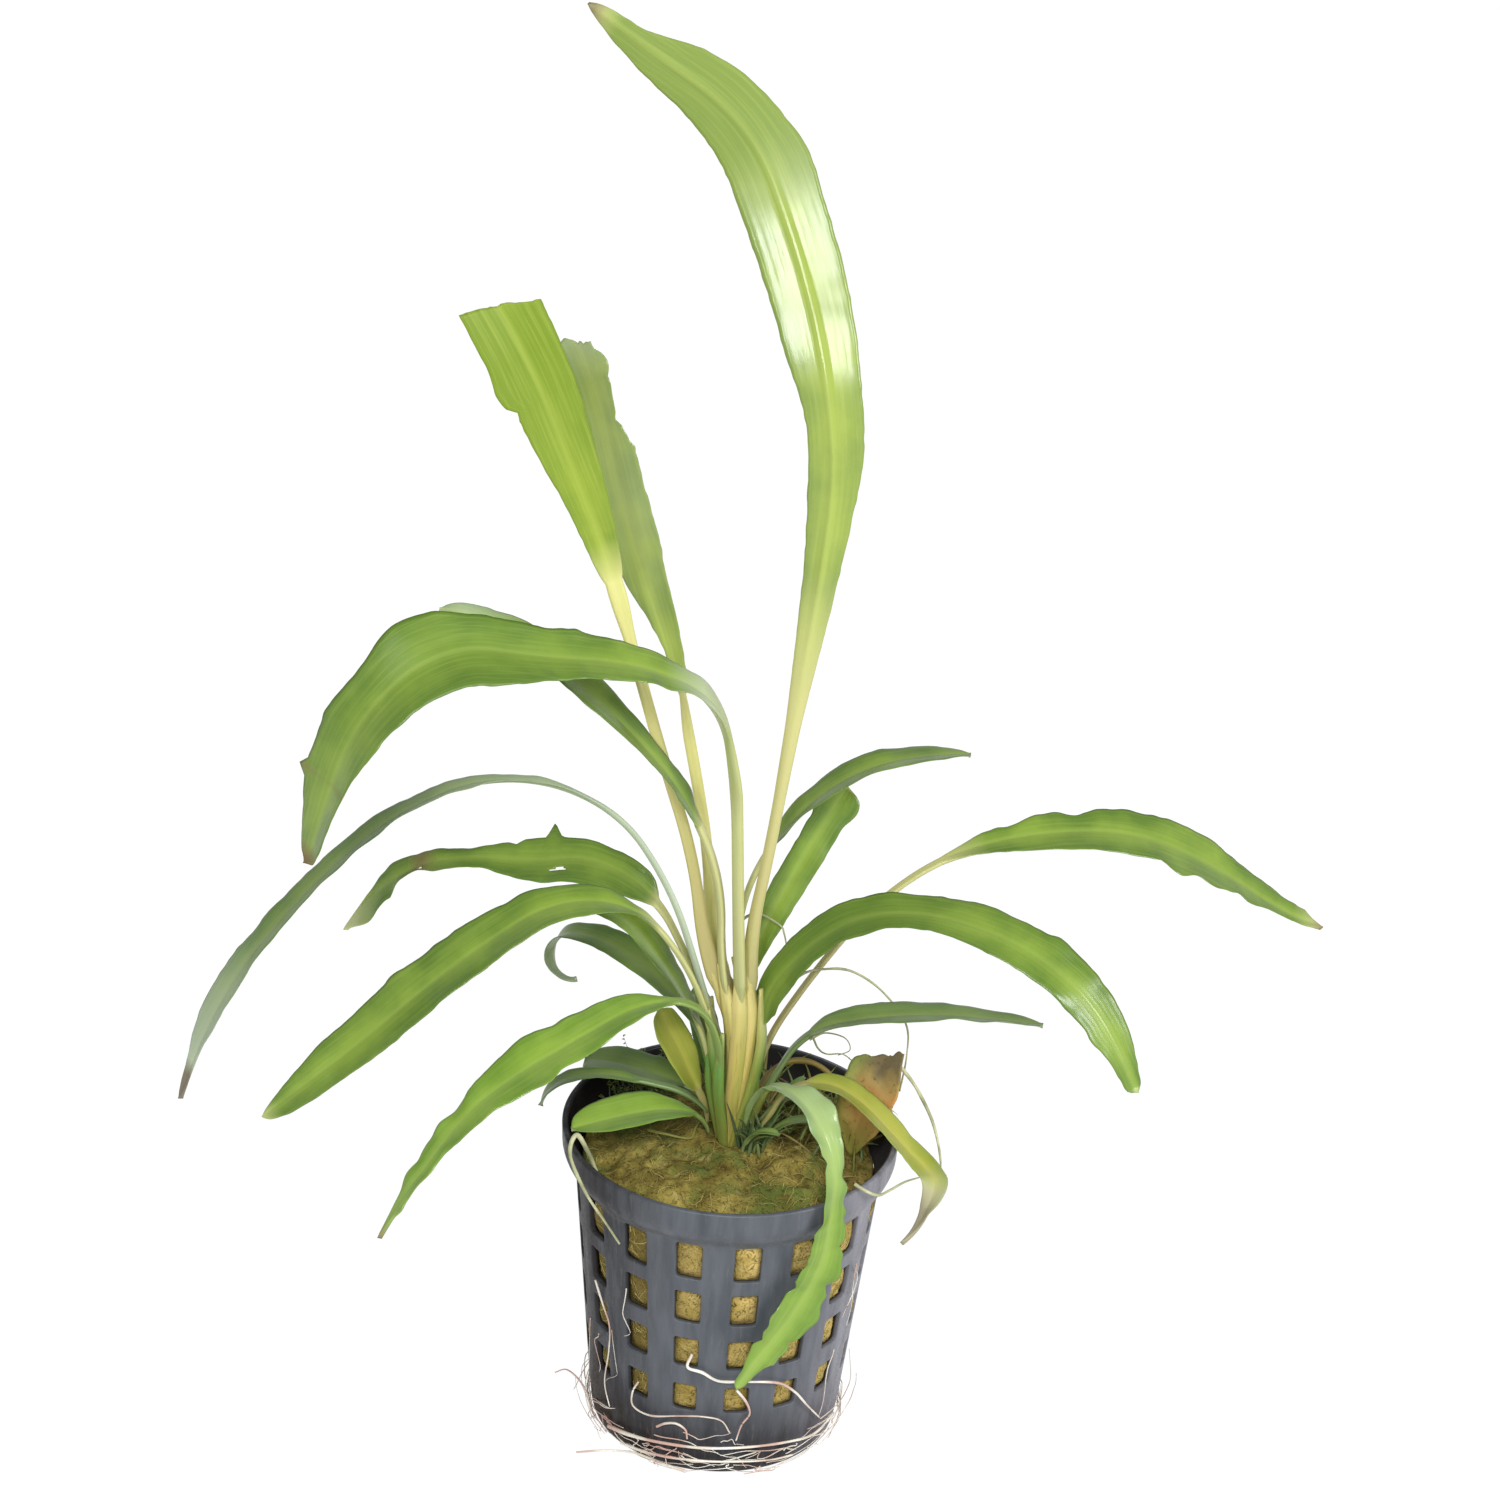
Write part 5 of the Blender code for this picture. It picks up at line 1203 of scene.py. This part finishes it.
fine_height = fine_foot[:, None] + fine_rise[:, None] * fine_share + 1.5 * lumps(fine_spot, 9.0, 73)
fine_height = np.maximum(fine_height + 0.12 * lumps(fine_spot, 3.0, 74), 0.22)
fine_clearance = 0.35 + fine_stray[:, None] * (0.4 + 2.0 * fine_share)
fine_clearance = fine_clearance + 0.3 * np.abs(lumps(fine_spot, 8.0, 75))
fine_paths = wall_place(fine_direction, fine_height, fine_clearance)
fine_radii = root_chance.uniform(*FINE_RADII, fine_count)[:, None] * (1.0 - 0.5 * fine_share)
fine_points, fine_quads = strands(fine_paths, fine_radii, 5)
fine_points, fine_faces, _ = welded(fine_points, fine_quads)
fine_roots = add_piece("fine_roots", fine_points, fine_faces, root_skin)
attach(fine_roots, "root")

# Moss and young growth on the wool: a clump of moss at the back left of the rim, a dark tuft of narrow
# young leaves just right of the crown, and old thin leaves that lie tangled over the wool right of that.
# The moss is soft shoots set with tiny leaflets, and the rest are single blades no wider than a match.
MOSS_STEMS = 60
MOSS_LEAFLETS = 20
TUFT_BLADES = 34
TANGLE_BLADES = 120
MOSS_MIDDLE = (-15.2, 14.5)
TUFT_MIDDLE = (3.6, -2.6)
TANGLE_MIDDLE = (12.0, 9.0)


def shoots(feet, headings, leans, bends, lengths, points):
    """Curved paths, one from each foot: a shoot starts at its lean towards its heading, and leans further
    by its bend on the way to its tip."""
    share = np.linspace(0.0, 1.0, points)
    steps = growth(leans[:, None] + bends[:, None] * share, headings[:, None])
    steps = steps * (lengths / points)[:, None, None]
    return feet[:, None] + np.cumsum(steps, axis=1) - steps[:, :1]


def spread_round(chance, middle, reach, count):
    """Feet scattered round a place on the wool's top, set a little into it."""
    flat = chance.normal(0.0, 1.0, (count, 2)) * reach + middle
    return np.column_stack((flat, wool_top(flat[:, 0], flat[:, 1]) - 0.3))


moss_chance = np.random.default_rng(81)
moss_feet = spread_round(moss_chance, MOSS_MIDDLE, (2.2, 1.4), MOSS_STEMS)
moss_paths = shoots(moss_feet, moss_chance.uniform(0.0, 360.0, MOSS_STEMS),
                    moss_chance.uniform(0.0, 25.0, MOSS_STEMS), moss_chance.uniform(0.0, 60.0, MOSS_STEMS),
                    moss_chance.uniform(5.0, 13.0, MOSS_STEMS), MOSS_LEAFLETS)
leaflet_count = MOSS_STEMS * MOSS_LEAFLETS
leaflet_paths = shoots(moss_paths.reshape(-1, 3), moss_chance.uniform(0.0, 360.0, leaflet_count),
                       moss_chance.uniform(30.0, 100.0, leaflet_count), np.full(leaflet_count, 25.0),
                       moss_chance.uniform(0.6, 1.5, leaflet_count), 4)
tuft_feet = spread_round(moss_chance, TUFT_MIDDLE, (1.1, 0.9), TUFT_BLADES)
tuft_paths = shoots(tuft_feet, moss_chance.normal(-30.0, 90.0, TUFT_BLADES),
                    moss_chance.uniform(0.0, 35.0, TUFT_BLADES), moss_chance.uniform(10.0, 60.0, TUFT_BLADES),
                    moss_chance.uniform(6.0, 13.0, TUFT_BLADES), 12)
tangle_feet = spread_round(moss_chance, TANGLE_MIDDLE, (5.5, 5.0), TANGLE_BLADES)
tangle_paths = shoots(tangle_feet, moss_chance.uniform(0.0, 360.0, TANGLE_BLADES),
                      moss_chance.uniform(0.0, 50.0, TANGLE_BLADES),
                      moss_chance.uniform(30.0, 110.0, TANGLE_BLADES),
                      moss_chance.uniform(5.0, 14.0, TANGLE_BLADES), 14)
growth_parts, growth_tones = [], []
for paths, thick, tone_low, tone_high, sides in (
        (moss_paths, 0.16, 0.15, 0.45, 4), (leaflet_paths, 0.15, 0.10, 0.60, 3),
        (tuft_paths, 0.34, 0.00, 0.35, 6), (tangle_paths, 0.32, 0.25, 1.00, 6)):
    taper = np.sin(np.linspace(0.35, 1.0, paths.shape[1]) * np.pi)
    radii = moss_chance.uniform(0.6, 1.2, len(paths))[:, None] * thick * np.maximum(taper, 0.15)
    growth_parts.append(strands(paths, radii, sides))
    growth_tones.append(tones(paths, sides, moss_chance.uniform(tone_low, tone_high, len(paths))))
moss_points, moss_faces, moss_marks = welded(*joined(growth_parts), {"tone": np.concatenate(growth_tones)})

# Soft wet growth: blackish and bluish green in the tuft, where the blackish green is painted shade, olive in
# the moss, and tan or straw where thin leaves have died.
soft = ramp_skin("soft_growth", (
    (0.0, "#34462A"), (0.2, "#5F7048"), (0.4, "#66702E"), (0.6, "#7C7E3A"), (0.8, "#6E5C26"),
    (1.0, "#9A8A50")), 0.5, 1.42)
moss = add_piece("moss_and_tuft", moss_points, moss_faces, soft, moss_marks)
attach(moss, "root")

# Loose threads of old growth: a curl caught between the petioles, a hook and a curl behind the small level
# leaf, a loop under the low left leaf, and an old leaf shrunk to a band that lies over the tangle.
LOOSE_THREADS = {  # radius, finish, slot, tone, points
    "loose_curl": (0.24, straw, "dry_stalk", 0.5, (
        (-0.5, 3.0, 91.4), (0.6, 3.0, 92.6), (2.5, 3.0, 93.1), (5.8, 3.0, 91.3), (6.6, 3.0, 89.7),
        (7.2, 3.0, 87.1))),
    "loose_hook": (0.20, straw, "dry_stalk", 0.5, (
        (12.4, 12.0, 65.8), (13.5, 12.0, 63.4), (15.0, 12.0, 62.4), (17.6, 11.6, 62.8), (19.6, 11.2, 61.6))),
    "loose_fine_curl": (0.16, straw, "dry_stalk", 0.5, (
        (12.1, 14.0, 63.7), (14.5, 14.0, 65.2), (17.8, 14.0, 64.5), (18.8, 14.0, 62.3), (16.9, 14.0, 61.1))),
    "loose_loop": (0.28, soft, "leaf_lime", 0.6, (
        (-13.4, -1.0, 53.6), (-10.6, -2.0, 53.7), (-6.5, -2.0, 53.2), (-5.6, 0.0, 54.2), (-4.4, 3.0, 54.4))),
    "old_leaf_band": (0.75, soft, "withered", 0.78, (
        (3.8, 4.0, 56.0), (5.4, 7.0, 60.0), (8.6, 8.6, 62.4), (12.6, 9.0, 62.4), (16.0, 8.6, 60.2),
        (17.8, 7.6, 56.6))),
}
for number, (loose, (loose_radius, loose_finish, loose_slot, loose_tone, loose_points)) in enumerate(
        LOOSE_THREADS.items()):
    loose_piece = thread(loose, smooth_route(loose_points), loose_radius, loose_finish, 90 + number,
                         tone=loose_tone)
